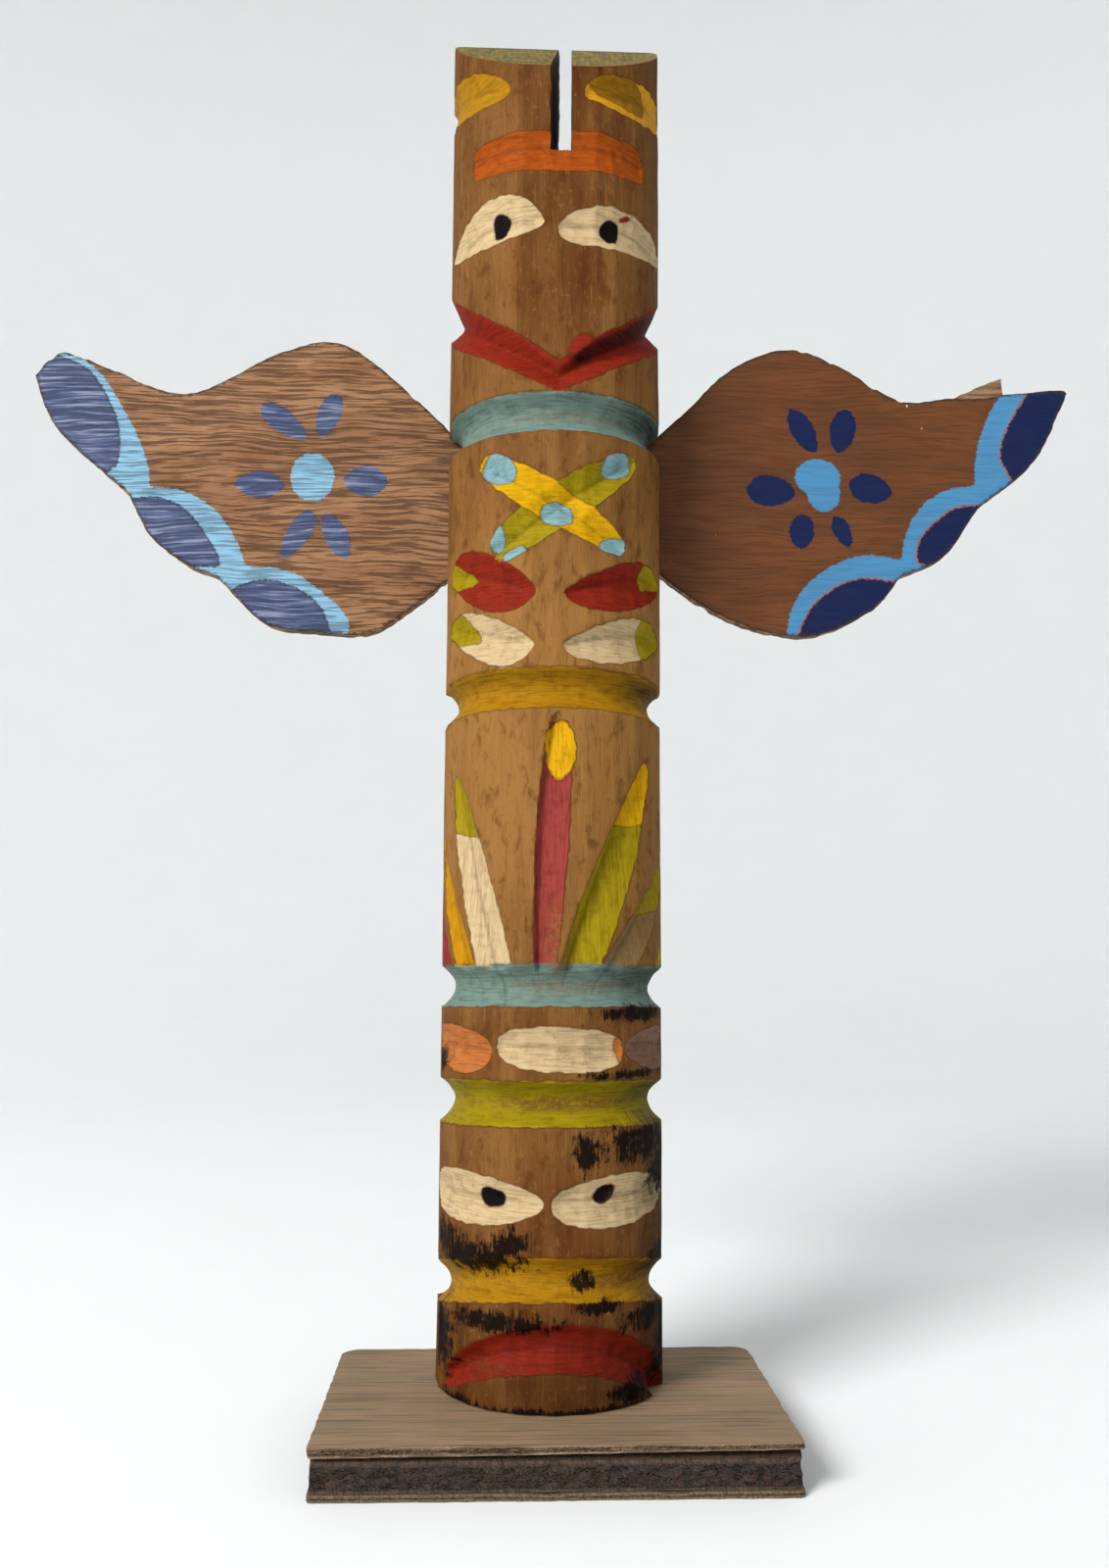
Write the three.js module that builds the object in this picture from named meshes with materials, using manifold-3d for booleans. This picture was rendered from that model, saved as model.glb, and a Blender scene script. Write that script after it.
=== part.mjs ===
// A carved and painted souvenir totem pole: a half-round pole on a small plywood base,
// with one thin plywood board of two wings across the pole's flat back.
// Millimetres, +Z up. The carved face looks along -Y. The origin is the middle of the
// base's underside.
import * as THREE from 'three';
import { mergeVertices } from 'three/addons/utils/BufferGeometryUtils.js';
import Module from 'manifold-3d';

const wasm = await Module();
wasm.setup();

// ---- driving sizes ---------------------------------------------------------------------

const TOUCH_GAP = 0.3;               // clearance left between pieces that touch

const BASE = { width: 90, depth: 60, thick: 9.5, frontCorner: 0.8, backCorner: 4 };
// The top ply has come unglued along the front edge and gapes a little, more to the right.
const BASE_SPLIT = { middle: 7.7, high: 0.95, deep: 3, rise: 0.95 };

const POLE = {
  radius: 23.5,                      // of the half-round face
  axisY: 8.4,                        // where the half circle is struck from
  back: 15,                          // the flat back
  foot: BASE.thick + TOUCH_GAP,
  top: 307.5,
  facetStep: 15,                     // degrees between the corners of the whittled section
};
const TOP_CUT = { frontZ: 285.4, ridgeY: 11 };        // sloping saw cut on the top
const TOP_SLOT = { width: 4.7, centre: 0.2, bottom: 268 };
const UPPER_FLAT = { from: 216, y: -13.7 };           // the upper face is planed a little

const BOARD = { thick: 3, front: POLE.back + TOUCH_GAP };

// Round grooves right across the face: edge heights at the middle of the face, how much
// the groove drops towards the sides, and its depth.
const GROOVES = [
  { name: 'under the beak', low: 204.6, high: 213.2, drop: 0, deep: 3.0 },
  { name: 'under the petals', low: 146.4, high: 154.8, drop: 1.2, deep: 3.0 },
  { name: 'under the feathers', low: 86.6, high: 95.0, drop: 1.2, deep: 3.0 },
  { name: 'above the lower eyes', low: 63.2, high: 72.2, drop: 1.4, deep: 3.2 },
  { name: 'above the mouth', low: 30.2, high: 38.6, drop: 5.0, deep: 3.0 },
];

// The open beak: one V groove whose valley runs down from both sides to the middle.
// Heights at the middle of the face, and at the side.
const BEAK = {
  side: 39, deep: 3.3,
  upper: [220.4, 245.6],
  valley: [217.4, 237.6],
  lower: [212.6, 234.4],
};

// Chisel cuts on the unrolled face: s is the distance round the face from its middle and
// z the height. Each has a valley line from `a` to `b`, a lip above it and a lip below,
// where each lip is widest, how blunt its ends are, and its depth.
const CUTS = [
  { name: 'left ear', a: [-38, 288], b: [-11.3, 281.3], up: [4.6, 0.5], down: [4.6, 0.42], blunt: 0.45, deep: 1.3 },
  { name: 'right ear', a: [5.6, 280.2], b: [38, 282.4], up: [4.4, 0.45], down: [3.4, 0.6], blunt: 0.55, deep: 1.3 },
  { name: 'brow', a: [-21.2, 267.2], b: [21.4, 268.2], up: [4.9, 0.5], down: [5, 0.5], blunt: 0.3, deep: 1.2 },
  { name: 'left eye', a: [-38, 252.6], b: [-2.9, 250.2], up: [6.4, 0.66], down: [4.8, 0.7], blunt: 0.7, deep: 1.2 },
  { name: 'right eye', a: [-0.3, 250], b: [33, 250.6], up: [5.4, 0.45], down: [4.4, 0.3], blunt: 0.6, deep: 1.2 },
  { name: 'falling arm', a: [-18.4, 198.8], b: [15.2, 180.6], up: [4.2, 0.35], down: [4.2, 0.6], blunt: 0.35, deep: 1.7 },
  { name: 'rising arm', a: [-14.6, 179.6], b: [18.4, 200.8], up: [4.2, 0.45], down: [4.8, 0.35], blunt: 0.35, deep: 1.7 },
  { name: 'upper left petal', a: [-30, 175.8], b: [-4.6, 170.4], up: [7, 0.34], down: [5.4, 0.66], blunt: 0.6, deep: 1.8 },
  { name: 'upper right petal', a: [1.2, 170.6], b: [30, 176], up: [4.8, 0.62], down: [5.4, 0.4], blunt: 0.6, deep: 1.8 },
  { name: 'lower left petal', a: [-30, 163.8], b: [-4.9, 159.4], up: [5.4, 0.32], down: [5.4, 0.7], blunt: 0.6, deep: 1.8 },
  { name: 'lower right petal', a: [0.9, 159.6], b: [30, 163.6], up: [4.6, 0.6], down: [5, 0.4], blunt: 0.6, deep: 1.8 },
  { name: 'middle feather', a: [-2.8, 84], b: [0.5, 145], up: [3.4, 0.6], down: [3.3, 0.6], blunt: 0.3, deep: 1.5 },
  { name: 'left feather', a: [-11.5, 84], b: [-26.2, 133], up: [3.2, 0.4], down: [3.2, 0.4], blunt: 0.4, deep: 1.4 },
  { name: 'left side feather', a: [-19, 86], b: [-35.5, 121.5], up: [2.7, 0.35], down: [2.7, 0.35], blunt: 0.5, deep: 1.2 },
  { name: 'right feather', a: [1.6, 87], b: [22.4, 136.5], up: [4.8, 0.42], down: [4.6, 0.4], blunt: 0.5, deep: 1.8 },
  { name: 'right side feather', a: [7.5, 87], b: [33.5, 118], up: [3.8, 0.4], down: [3.8, 0.4], blunt: 0.5, deep: 1.5 },
  { name: 'left dash', a: [-39, 78.6], b: [-13.6, 77.8], up: [4.4, 0.5], down: [5.2, 0.68], blunt: 0.4, deep: 1.5 },
  { name: 'middle dash', a: [-12.2, 78.4], b: [14.6, 77.6], up: [4.7, 0.48], down: [4.3, 0.52], blunt: 0.4, deep: 1.5 },
  { name: 'right dash', a: [15.2, 78.4], b: [37, 77.6], up: [4.2, 0.5], down: [4.6, 0.5], blunt: 0.5, deep: 1.5 },
  { name: 'lower left eye', a: [-36.5, 48.6], b: [-2.2, 48.6], up: [5.4, 0.42], down: [4.8, 0.5], blunt: 0.5, deep: 1.2 },
  { name: 'lower right eye', a: [-0.8, 48.8], b: [30.5, 49], up: [5, 0.5], down: [5.2, 0.38], blunt: 0.5, deep: 1.2 },
  { name: 'mouth', a: [-25.5, 13.5], b: [31, 9], up: [4.6, 0.45], down: [4.6, 0.5], blunt: 0.35, bow: 10, deep: 2.2 },
];

// Edges of the wings in the board's plane, [x, z], one smooth curve between two corners.
const LEFT_WING = [
  [[-16, 208], [-33.6, 225], [-48.7, 236], [-62.7, 233.7], [-83.5, 223.4], [-100.8, 228.8], [-112.4, 232.6],
    [-118.3, 227]],
  [[-118.3, 227], [-112.9, 214.6], [-96.2, 199.4]],
  [[-96.2, 199.4], [-91, 189.8], [-82.1, 183], [-75.6, 180.4]],
  [[-75.6, 180.4], [-64.6, 170], [-53.4, 168.1], [-41.4, 167.9], [-31.4, 174.1], [-16, 187]],
];
const RIGHT_WING = [
  [[16, 189], [37.5, 173.6], [57.4, 168.6], [73.2, 175], [80.2, 183]],
  [[80.2, 183], [90.4, 188], [98.8, 199.6]],
  [[98.8, 199.6], [112.3, 211.1], [120.9, 227.9]],
  [[120.9, 227.9], [119.3, 228.7], [112.4, 228.1], [105.9, 227.4]],
  [[105.9, 227.4], [105.6, 231.8]],            // end of the splinter where the tip broke
  [[105.6, 231.8], [101.1, 230], [92.7, 226.1]],
  [[92.7, 226.1], [80.6, 225.4], [66.8, 233.4], [54.5, 237.2], [41, 231.8], [30, 221], [16, 208.5]],
];

// ---- looks -----------------------------------------------------------------------------

const LOOKS = {
  stainedWood: { color: 0x8a5a34, roughness: 0.6, metalness: 0 },
  paintedPly: { color: 0x6f9cc0, roughness: 0.6, metalness: 0 },
  greyedPly: { color: 0x8b7a66, roughness: 0.85, metalness: 0 },
};

// ---- solids ----------------------------------------------------------------------------

function toSolid(geometry) {
  const bare = geometry.index ? geometry.toNonIndexed() : geometry.clone();
  bare.deleteAttribute('normal');
  bare.deleteAttribute('uv');
  const merged = mergeVertices(bare, 1e-4);
  return new wasm.Manifold(new wasm.Mesh({
    numProp: 3,
    vertProperties: new Float32Array(merged.attributes.position.array),
    triVerts: new Uint32Array(merged.index.array),
  }));
}

function toGeometry(solid) {
  const mesh = solid.getMesh();
  const geometry = new THREE.BufferGeometry();
  geometry.setAttribute('position', new THREE.BufferAttribute(mesh.vertProperties, 3));
  geometry.setIndex(new THREE.BufferAttribute(mesh.triVerts, 1));
  geometry.computeVertexNormals();
  return geometry;
}

function boxBetween([x0, x1], [y0, y1], [z0, z1]) {
  const box = new THREE.BoxGeometry(x1 - x0, y1 - y0, z1 - z0);
  return toSolid(box.translate((x0 + x1) / 2, (y0 + y1) / 2, (z0 + z1) / 2));
}

function namedMesh(name, geometry, look) {
  const mesh = new THREE.Mesh(geometry, new THREE.MeshStandardMaterial(look));
  mesh.name = name;
  return mesh;
}

// ---- the carved face -------------------------------------------------------------------

// A point at distance s round the half-round face and height z, `out` mm off the face.
function onFace([s, z], out) {
  const angle = s / POLE.radius;
  const reach = POLE.radius + out;
  return [reach * Math.sin(angle), POLE.axisY - reach * Math.cos(angle), z];
}

// A closed tool swept through rows of [upper lip, valley, lower lip] on the face. It
// bites `deep` mm into the face along the valley and stands clear of it outside.
function toolThroughRows(rows, deep) {
  const CLEAR = 4;
  const corners = [];
  for (const { upper, valley, lower, bite } of rows) {
    corners.push(
      onFace(upper, CLEAR), onFace(upper, 0), onFace(valley, -deep * bite),
      onFace(lower, 0), onFace(lower, CLEAR),
    );
  }
  const ring = 5;
  const index = [];
  for (let row = 0; row + 1 < rows.length; row += 1) {
    for (let corner = 0; corner < ring; corner += 1) {
      const next = (corner + 1) % ring;
      const [p, q] = [row * ring + corner, row * ring + next];
      index.push(p, q, q + ring, p, q + ring, p + ring);
    }
  }
  const last = (rows.length - 1) * ring;
  for (let corner = 1; corner + 1 < ring; corner += 1) {
    index.push(0, corner + 1, corner);
    index.push(last, last + corner, last + corner + 1);
  }
  const geometry = new THREE.BufferGeometry();
  geometry.setAttribute('position', new THREE.Float32BufferAttribute(corners.flat(), 3));
  geometry.setIndex(index);
  const solid = toSolid(geometry);
  if (solid.volume() > 0) return solid;
  geometry.setIndex(index.reverse());
  return toSolid(geometry);
}

// How far a lip stands off the valley at t along it, as a share of its greatest width.
function lipShare(t, widestAt, blunt) {
  const power = Math.log(0.5) / Math.log(widestAt);
  return Math.max(0, Math.sin(Math.PI * t ** power)) ** blunt;
}

function chiselTool({ a, b, up, down, blunt, deep, bow = 0 }) {
  const STATIONS = 11;
  const END_WIDTH = 0.12;            // the tool ends in a short edge, not a point
  const along = new THREE.Vector2(b[0] - a[0], b[1] - a[1]);
  const across = new THREE.Vector2(-along.y, along.x).normalize();
  if (across.y < 0) across.negate();
  const rows = [];
  for (let station = 0; station <= STATIONS; station += 1) {
    const t = 0.5 - 0.5 * Math.cos((Math.PI * station) / STATIONS);
    const rise = bow * 4 * t * (1 - t);
    const valley = [a[0] + along.x * t, a[1] + along.y * t + rise];
    const lipUp = Math.max(END_WIDTH, up[0] * lipShare(t, up[1], blunt));
    const lipDown = Math.max(END_WIDTH, down[0] * lipShare(t, down[1], blunt));
    const reach = Math.min(1, (lipUp + lipDown) / (0.6 * (up[0] + down[0])));
    rows.push({
      upper: [valley[0] + across.x * lipUp, valley[1] + across.y * lipUp],
      valley,
      lower: [valley[0] - across.x * lipDown, valley[1] - across.y * lipDown],
      bite: reach,
    });
  }
  return toolThroughRows(rows, deep);
}

function beakTool() {
  const HALF_STATIONS = 7;
  const rows = [];
  for (let station = -HALF_STATIONS; station <= HALF_STATIONS; station += 1) {
    const s = (BEAK.side * station) / HALF_STATIONS;
    const share = Math.abs(station) / HALF_STATIONS;
    const height = ([middle, side]) => middle + (side - middle) * share;
    rows.push({
      upper: [s, height(BEAK.upper)],
      valley: [s, height(BEAK.valley)],
      lower: [s, height(BEAK.lower)],
      bite: 1,
    });
  }
  return toolThroughRows(rows, BEAK.deep);
}

// A round groove is turned about the pole's own axis, then lowered towards the sides.
function grooveTool({ low, high, drop, deep }) {
  const ARC_STEPS = 5;
  const CLEAR = 5;
  const profile = [new THREE.Vector2(POLE.radius + CLEAR, low)];
  for (let step = 0; step <= ARC_STEPS; step += 1) {
    const share = step / ARC_STEPS;
    const bite = deep * 4 * share * (1 - share);
    profile.push(new THREE.Vector2(POLE.radius - bite, low + (high - low) * share));
  }
  profile.push(new THREE.Vector2(POLE.radius + CLEAR, high));
  profile.push(profile[0].clone());
  const geometry = new THREE.LatheGeometry(profile, 32);
  geometry.rotateX(Math.PI / 2);
  const position = geometry.attributes.position;
  for (let i = 0; i < position.count; i += 1) {
    const x = position.getX(i);
    const y = position.getY(i);
    const front = Math.max(0, -y / Math.hypot(x, y));
    position.setZ(i, position.getZ(i) - drop * (1 - front));
  }
  geometry.translate(0, POLE.axisY, 0);
  const solid = toSolid(geometry);
  if (solid.volume() > 0) return solid;
  return toSolid(geometry.setIndex([...geometry.index.array].reverse()));
}

// ---- pieces ----------------------------------------------------------------------------

function poleBlank() {
  const corner = POLE.radius / Math.cos(THREE.MathUtils.degToRad(POLE.facetStep / 2));
  const section = new THREE.Shape();
  section.moveTo(corner, POLE.back);
  section.lineTo(-corner, POLE.back);
  for (let angle = -90; angle <= 90; angle += POLE.facetStep) {
    const turn = THREE.MathUtils.degToRad(angle);
    section.lineTo(corner * Math.sin(turn), POLE.axisY - corner * Math.cos(turn));
  }
  section.closePath();
  const blank = new THREE.ExtrudeGeometry(section, { depth: POLE.top - POLE.foot, bevelEnabled: false });
  return toSolid(blank.translate(0, 0, POLE.foot));
}

function slopingTop() {
  const frontY = POLE.axisY - POLE.radius;
  const slope = (POLE.top - TOP_CUT.frontZ) / (TOP_CUT.ridgeY - frontY);
  const PAST = 10;
  const side = new THREE.Shape();
  side.moveTo(frontY - PAST, TOP_CUT.frontZ - slope * PAST);
  side.lineTo(TOP_CUT.ridgeY + PAST, POLE.top + slope * PAST);
  side.lineTo(frontY - PAST, POLE.top + slope * PAST);
  side.closePath();
  const length = 4 * POLE.radius;
  const wedge = new THREE.ExtrudeGeometry(side, { depth: length, bevelEnabled: false });
  wedge.translate(0, 0, -length / 2).rotateY(Math.PI / 2).rotateX(Math.PI / 2);
  return toSolid(wedge);
}

function carvedPole() {
  const PAST = 2 * POLE.radius;      // reaches past the pole on every side
  const tools = [
    slopingTop(),
    boxBetween(
      [TOP_SLOT.centre - TOP_SLOT.width / 2, TOP_SLOT.centre + TOP_SLOT.width / 2],
      [-PAST, PAST], [TOP_SLOT.bottom, POLE.top + PAST],
    ),
    boxBetween([-PAST, PAST], [-PAST, UPPER_FLAT.y], [UPPER_FLAT.from, POLE.top + PAST]),
    beakTool(),
    ...GROOVES.map(grooveTool),
    ...CUTS.map(chiselTool),
  ];
  return tools.reduce((pole, tool) => pole.subtract(tool), poleBlank());
}

function wingBoard() {
  const outline = new THREE.Shape();
  outline.moveTo(...LEFT_WING[0][0]);
  for (const edge of [...LEFT_WING, ...RIGHT_WING]) {
    const [start, ...others] = edge.map(([x, z]) => new THREE.Vector2(x, z));
    if (!outline.currentPoint.equals(start)) outline.lineTo(start.x, start.y);
    outline.splineThru(others);
  }
  outline.closePath();
  const board = new THREE.ExtrudeGeometry(outline, {
    depth: BOARD.thick, bevelEnabled: false, curveSegments: 4,
  });
  return board.rotateX(Math.PI / 2).translate(0, BOARD.front + BOARD.thick, 0);
}

function basePlate() {
  const [x, y] = [BASE.width / 2, BASE.depth / 2];
  const [front, back] = [BASE.frontCorner, BASE.backCorner];
  const outline = new THREE.Shape();
  outline.moveTo(-x + front, -y);
  outline.lineTo(x - front, -y);
  outline.quadraticCurveTo(x, -y, x, -y + front);
  outline.lineTo(x, y - back);
  outline.quadraticCurveTo(x, y, x - back, y);
  outline.lineTo(-x + back, y);
  outline.quadraticCurveTo(-x, y, -x, y - back);
  outline.lineTo(-x, -y + front);
  outline.quadraticCurveTo(-x, -y, -x + front, -y);
  const plate = toSolid(new THREE.ExtrudeGeometry(outline, {
    depth: BASE.thick, bevelEnabled: false, curveSegments: 4,
  }));
  const split = new THREE.BoxGeometry(BASE.width * 1.2, 2 * BASE_SPLIT.deep, BASE_SPLIT.high);
  split.rotateY(-Math.atan(BASE_SPLIT.rise / BASE.width));
  split.translate(0, -y, BASE_SPLIT.middle);
  return plate.subtract(toSolid(split));
}

const totemPole = new THREE.Group();
totemPole.add(
  namedMesh('base', toGeometry(basePlate()), LOOKS.greyedPly),
  namedMesh('pole', toGeometry(carvedPole()), LOOKS.stainedWood),
  namedMesh('wings', wingBoard(), LOOKS.paintedPly),
);

export default totemPole;
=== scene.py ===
import math

import bmesh
import bpy
import numpy as np
from bpy.props import FloatProperty, FloatVectorProperty, PointerProperty
from mathutils import Matrix, Vector


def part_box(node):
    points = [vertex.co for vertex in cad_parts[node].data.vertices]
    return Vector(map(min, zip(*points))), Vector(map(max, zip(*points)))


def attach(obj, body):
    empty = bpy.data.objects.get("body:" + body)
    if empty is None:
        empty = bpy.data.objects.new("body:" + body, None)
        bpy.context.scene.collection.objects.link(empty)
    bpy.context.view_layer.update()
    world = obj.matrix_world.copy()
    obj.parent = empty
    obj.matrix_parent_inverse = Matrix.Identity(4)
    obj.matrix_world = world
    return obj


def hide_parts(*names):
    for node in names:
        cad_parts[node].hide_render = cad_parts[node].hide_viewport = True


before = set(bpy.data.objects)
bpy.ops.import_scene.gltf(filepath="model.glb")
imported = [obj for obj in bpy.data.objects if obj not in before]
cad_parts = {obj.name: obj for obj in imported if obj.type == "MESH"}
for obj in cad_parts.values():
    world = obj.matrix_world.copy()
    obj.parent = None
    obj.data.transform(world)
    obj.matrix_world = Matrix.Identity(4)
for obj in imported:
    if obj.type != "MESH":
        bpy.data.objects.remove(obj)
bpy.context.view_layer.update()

bl_info = {
    "name": "Souvenir totem pole",
    "version": (1, 0, 0),
    "blender": (4, 5, 0),
    "location": "View3D > Sidebar > Totem pole",
    "description": "A carved and painted half-round pole with plywood wings on a small plywood base",
    "category": "Object",
}

MM = 0.001


def tone(code):
    """A colour written as six hex digits, as scene-linear red, green and blue."""
    shares = [int(code[i:i + 2], 16) / 255 for i in (0, 2, 4)]
    return tuple(c / 12.92 if c <= 0.04045 else ((c + 0.055) / 1.055) ** 2.4 for c in shares)


def size(name, description, default):
    """A length that a user may change, in metres."""
    return FloatProperty(name=name, description=description, default=default, min=0, precision=5,
                         unit="LENGTH", subtype="DISTANCE")


def share(name, description, default):
    """A share from 0 to 1 that a user may change."""
    return FloatProperty(name=name, description=description, default=default, min=0, max=1, subtype="FACTOR")


def colour(name, description, code):
    """A colour that a user may change."""
    return FloatVectorProperty(name=name, description=description, default=tone(code), min=0, max=1,
                               subtype="COLOR")


# ---- sizes and places, in millimetres ---------------------------------------------------

AXIS_Y = 8.4                 # the pole's half circle is struck from here
RADIUS = 23.5
BACK_Y = 15.0
FACET = math.radians(15)
FACE_ARC = 33.0              # the finely divided face reaches this far round on either side
BACK_HALF = 23.7
FACE_SHARE, SIDE_SHARE = 0.79, 0.93  # shares of the grid that end at the face's edge and at the back's
PLANED = {"from": 216.0, "y": -13.7}
TOP_CUT = {"front_z": 285.4, "ridge_y": 11.0, "corner": 2.2}
SLOT = {"width": 4.7, "centre": 0.2, "bottom": 268.0, "skew_left": 3.1, "skew_right": 1.3}

# Round grooves across the face: low and high edge at the middle, drop to the sides, depth.
GROOVES = {
    "under the beak": (204.6, 213.2, 0.0, 3.0),
    "under the petals": (146.4, 154.8, 1.2, 3.0),
    "under the feathers": (86.6, 95.0, 1.2, 3.0),
    "above the lower eyes": (63.2, 72.2, 1.4, 3.2),
    "above the mouth": (30.2, 38.6, 5.0, 3.0),
}

# The open beak: heights at the middle of the face and at the side.
BEAK = {"side": 39.0, "deep": 3.3, "upper": (220.4, 245.6), "valley": (217.4, 237.6),
        "lower": (212.6, 234.4)}

# Chisel cuts on the unrolled face: start, end, upper lip (width, where widest), lower lip,
# bluntness of the ends, depth, bow.
CUTS = {
    "left ear": ((-46, 290.5), (-11.3, 281.3), (5.4, 0.5), (4.6, 0.5), 0.45, 1.3, 0),
    "right ear": ((5.6, 280.2), (38, 286.5), (4.6, 0.38), (4.8, 0.5), 0.55, 1.3, 0),
    "brow": ((-21.6, 267.2), (21.6, 267.6), (4.5, 0.5), (4.6, 0.5), 0.1, 1.2, -0.2),
    "left eye": ((-31.8, 249.6), (-3.6, 251), (7.4, 0.62), (3.4, 0.55), 0.55, 1.2, 0),
    "right eye": ((-0.3, 250), (33, 250.6), (5.4, 0.45), (4.4, 0.3), 0.6, 1.2, 0),
    "falling arm": ((-18.4, 198.8), (15.2, 180.6), (4.2, 0.35), (4.2, 0.6), 0.35, 1.9, 0),
    "rising arm": ((-14.6, 179.6), (18.4, 200.8), (4.2, 0.45), (4.8, 0.35), 0.35, 1.9, 0),
    "upper left petal": ((-30, 175.8), (-4.6, 170.4), (7, 0.34), (5.4, 0.66), 0.6, 1.8, 0),
    "upper right petal": ((1.2, 170.6), (30, 176), (4.8, 0.62), (5.4, 0.4), 0.6, 1.8, 0),
    "lower left petal": ((-30, 163.8), (-4.9, 159.4), (5.4, 0.32), (5.4, 0.7), 0.6, 1.8, 0),
    "lower right petal": ((0.9, 159.6), (30, 163.6), (4.6, 0.6), (5, 0.4), 0.6, 1.8, 0),
    "middle feather": ((-2.8, 84), (0.5, 145), (3.4, 0.6), (3.3, 0.6), 0.3, 1.6, 0),
    "left feather": ((-9.8, 84), (-25.6, 133.5), (4.4, 0.45), (4.4, 0.4), 0.4, 1.4, 0),
    "left side feather": ((-16.8, 86), (-35.5, 121.5), (3.2, 0.4), (3.2, 0.4), 0.5, 1.2, 0),
    "right feather": ((1.6, 87), (22.4, 136.5), (4.8, 0.42), (4.6, 0.4), 0.5, 2.2, 0),
    "right side feather": ((7.5, 87), (33.5, 118), (3.8, 0.4), (3.8, 0.4), 0.5, 1.7, 0),
    "left dash": ((-39, 78.6), (-13.6, 77.8), (4.4, 0.5), (5.2, 0.68), 0.4, 1.5, 0),
    "middle dash": ((-12.2, 78.4), (14.6, 77.6), (4.7, 0.48), (4.3, 0.52), 0.28, 1.4, 0),
    "right dash": ((15.2, 78.4), (37, 77.6), (4.2, 0.5), (4.6, 0.5), 0.5, 1.5, 0),
    "lower left eye": ((-36.5, 48.6), (-2.2, 48.6), (5.4, 0.42), (4.8, 0.5), 0.5, 1.2, 0),
    "lower right eye": ((-0.8, 48.8), (30.5, 49), (5, 0.5), (5.2, 0.38), 0.5, 1.2, 0),
    "mouth": ((-26.5, 13.6), (32, 6.4), (5.2, 0.58), (4.2, 0.3), 0.26, 2.4, 11),
}
# How far each valley lies from the middle of its cut towards the upper lip, and how round it is.
VALLEYS = {
    "left ear": (0.2, 0.6), "right ear": (0.1, 0.6), "brow": (0.3, 0.9), "left eye": (0.15, 0.7),
    "right eye": (0.15, 0.7), "upper left petal": (0.3, 0.3), "upper right petal": (0.35, 0.3),
    "lower left petal": (0.3, 0.4), "lower right petal": (0.25, 0.4), "middle feather": (0.82, 0.85),
    "left feather": (-0.1, 0.9), "left side feather": (0.1, 0.8), "right feather": (0.62, 0.25),
    "right side feather": (0.45, 0.3), "left dash": (0.0, 0.6), "middle dash": (0.15, 0.9),
    "right dash": (0.2, 0.5), "lower left eye": (0.15, 0.8), "lower right eye": (0.15, 0.8),
    "mouth": (0.12, 0.85),
}
PLAIN_VALLEY = (0.0, 0.1)
FEATHER_FOOT = 94.6          # the feathers end here, at the edge of the groove below them

# Edges of the wings, x and z, one smooth curve between two corners.
LEFT_WING = [
    [(-16, 208), (-33.6, 225), (-48.7, 236), (-62.7, 233.7), (-83.5, 223.4), (-100.8, 228.8),
     (-112.4, 232.6), (-118.3, 227)],
    [(-118.3, 227), (-112.9, 214.6), (-96.2, 199.4)],
    [(-96.2, 199.4), (-91, 189.8), (-82.1, 183), (-75.6, 180.4)],
    [(-75.6, 180.4), (-64.6, 170), (-53.4, 168.1), (-41.4, 167.9), (-31.4, 174.1), (-16, 187)],
]
RIGHT_WING = [
    [(16, 189), (37.5, 173.6), (57.4, 168.6), (73.2, 175), (80.2, 183)],
    [(80.2, 183), (90.4, 188), (98.8, 199.6)],
    [(98.8, 199.6), (112.3, 211.1), (120.9, 227.9)],
    [(120.9, 227.9), (119.3, 228.7), (112.4, 228.1), (105.9, 227.4)],
]
SPLINTER = [
    [(105.9, 227.4), (105.6, 231.8)],
    [(105.6, 231.8), (101.1, 230), (92.7, 226.1)],
]
BROKEN_FACE = [[(105.9, 227.4), (100, 226.3), (92.7, 226.1)]]
RIGHT_SHOULDER = [[(92.7, 226.1), (80.6, 225.4), (66.8, 233.4), (54.5, 237.2), (41, 231.8), (30, 221),
                   (16, 208.5)]]

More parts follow.
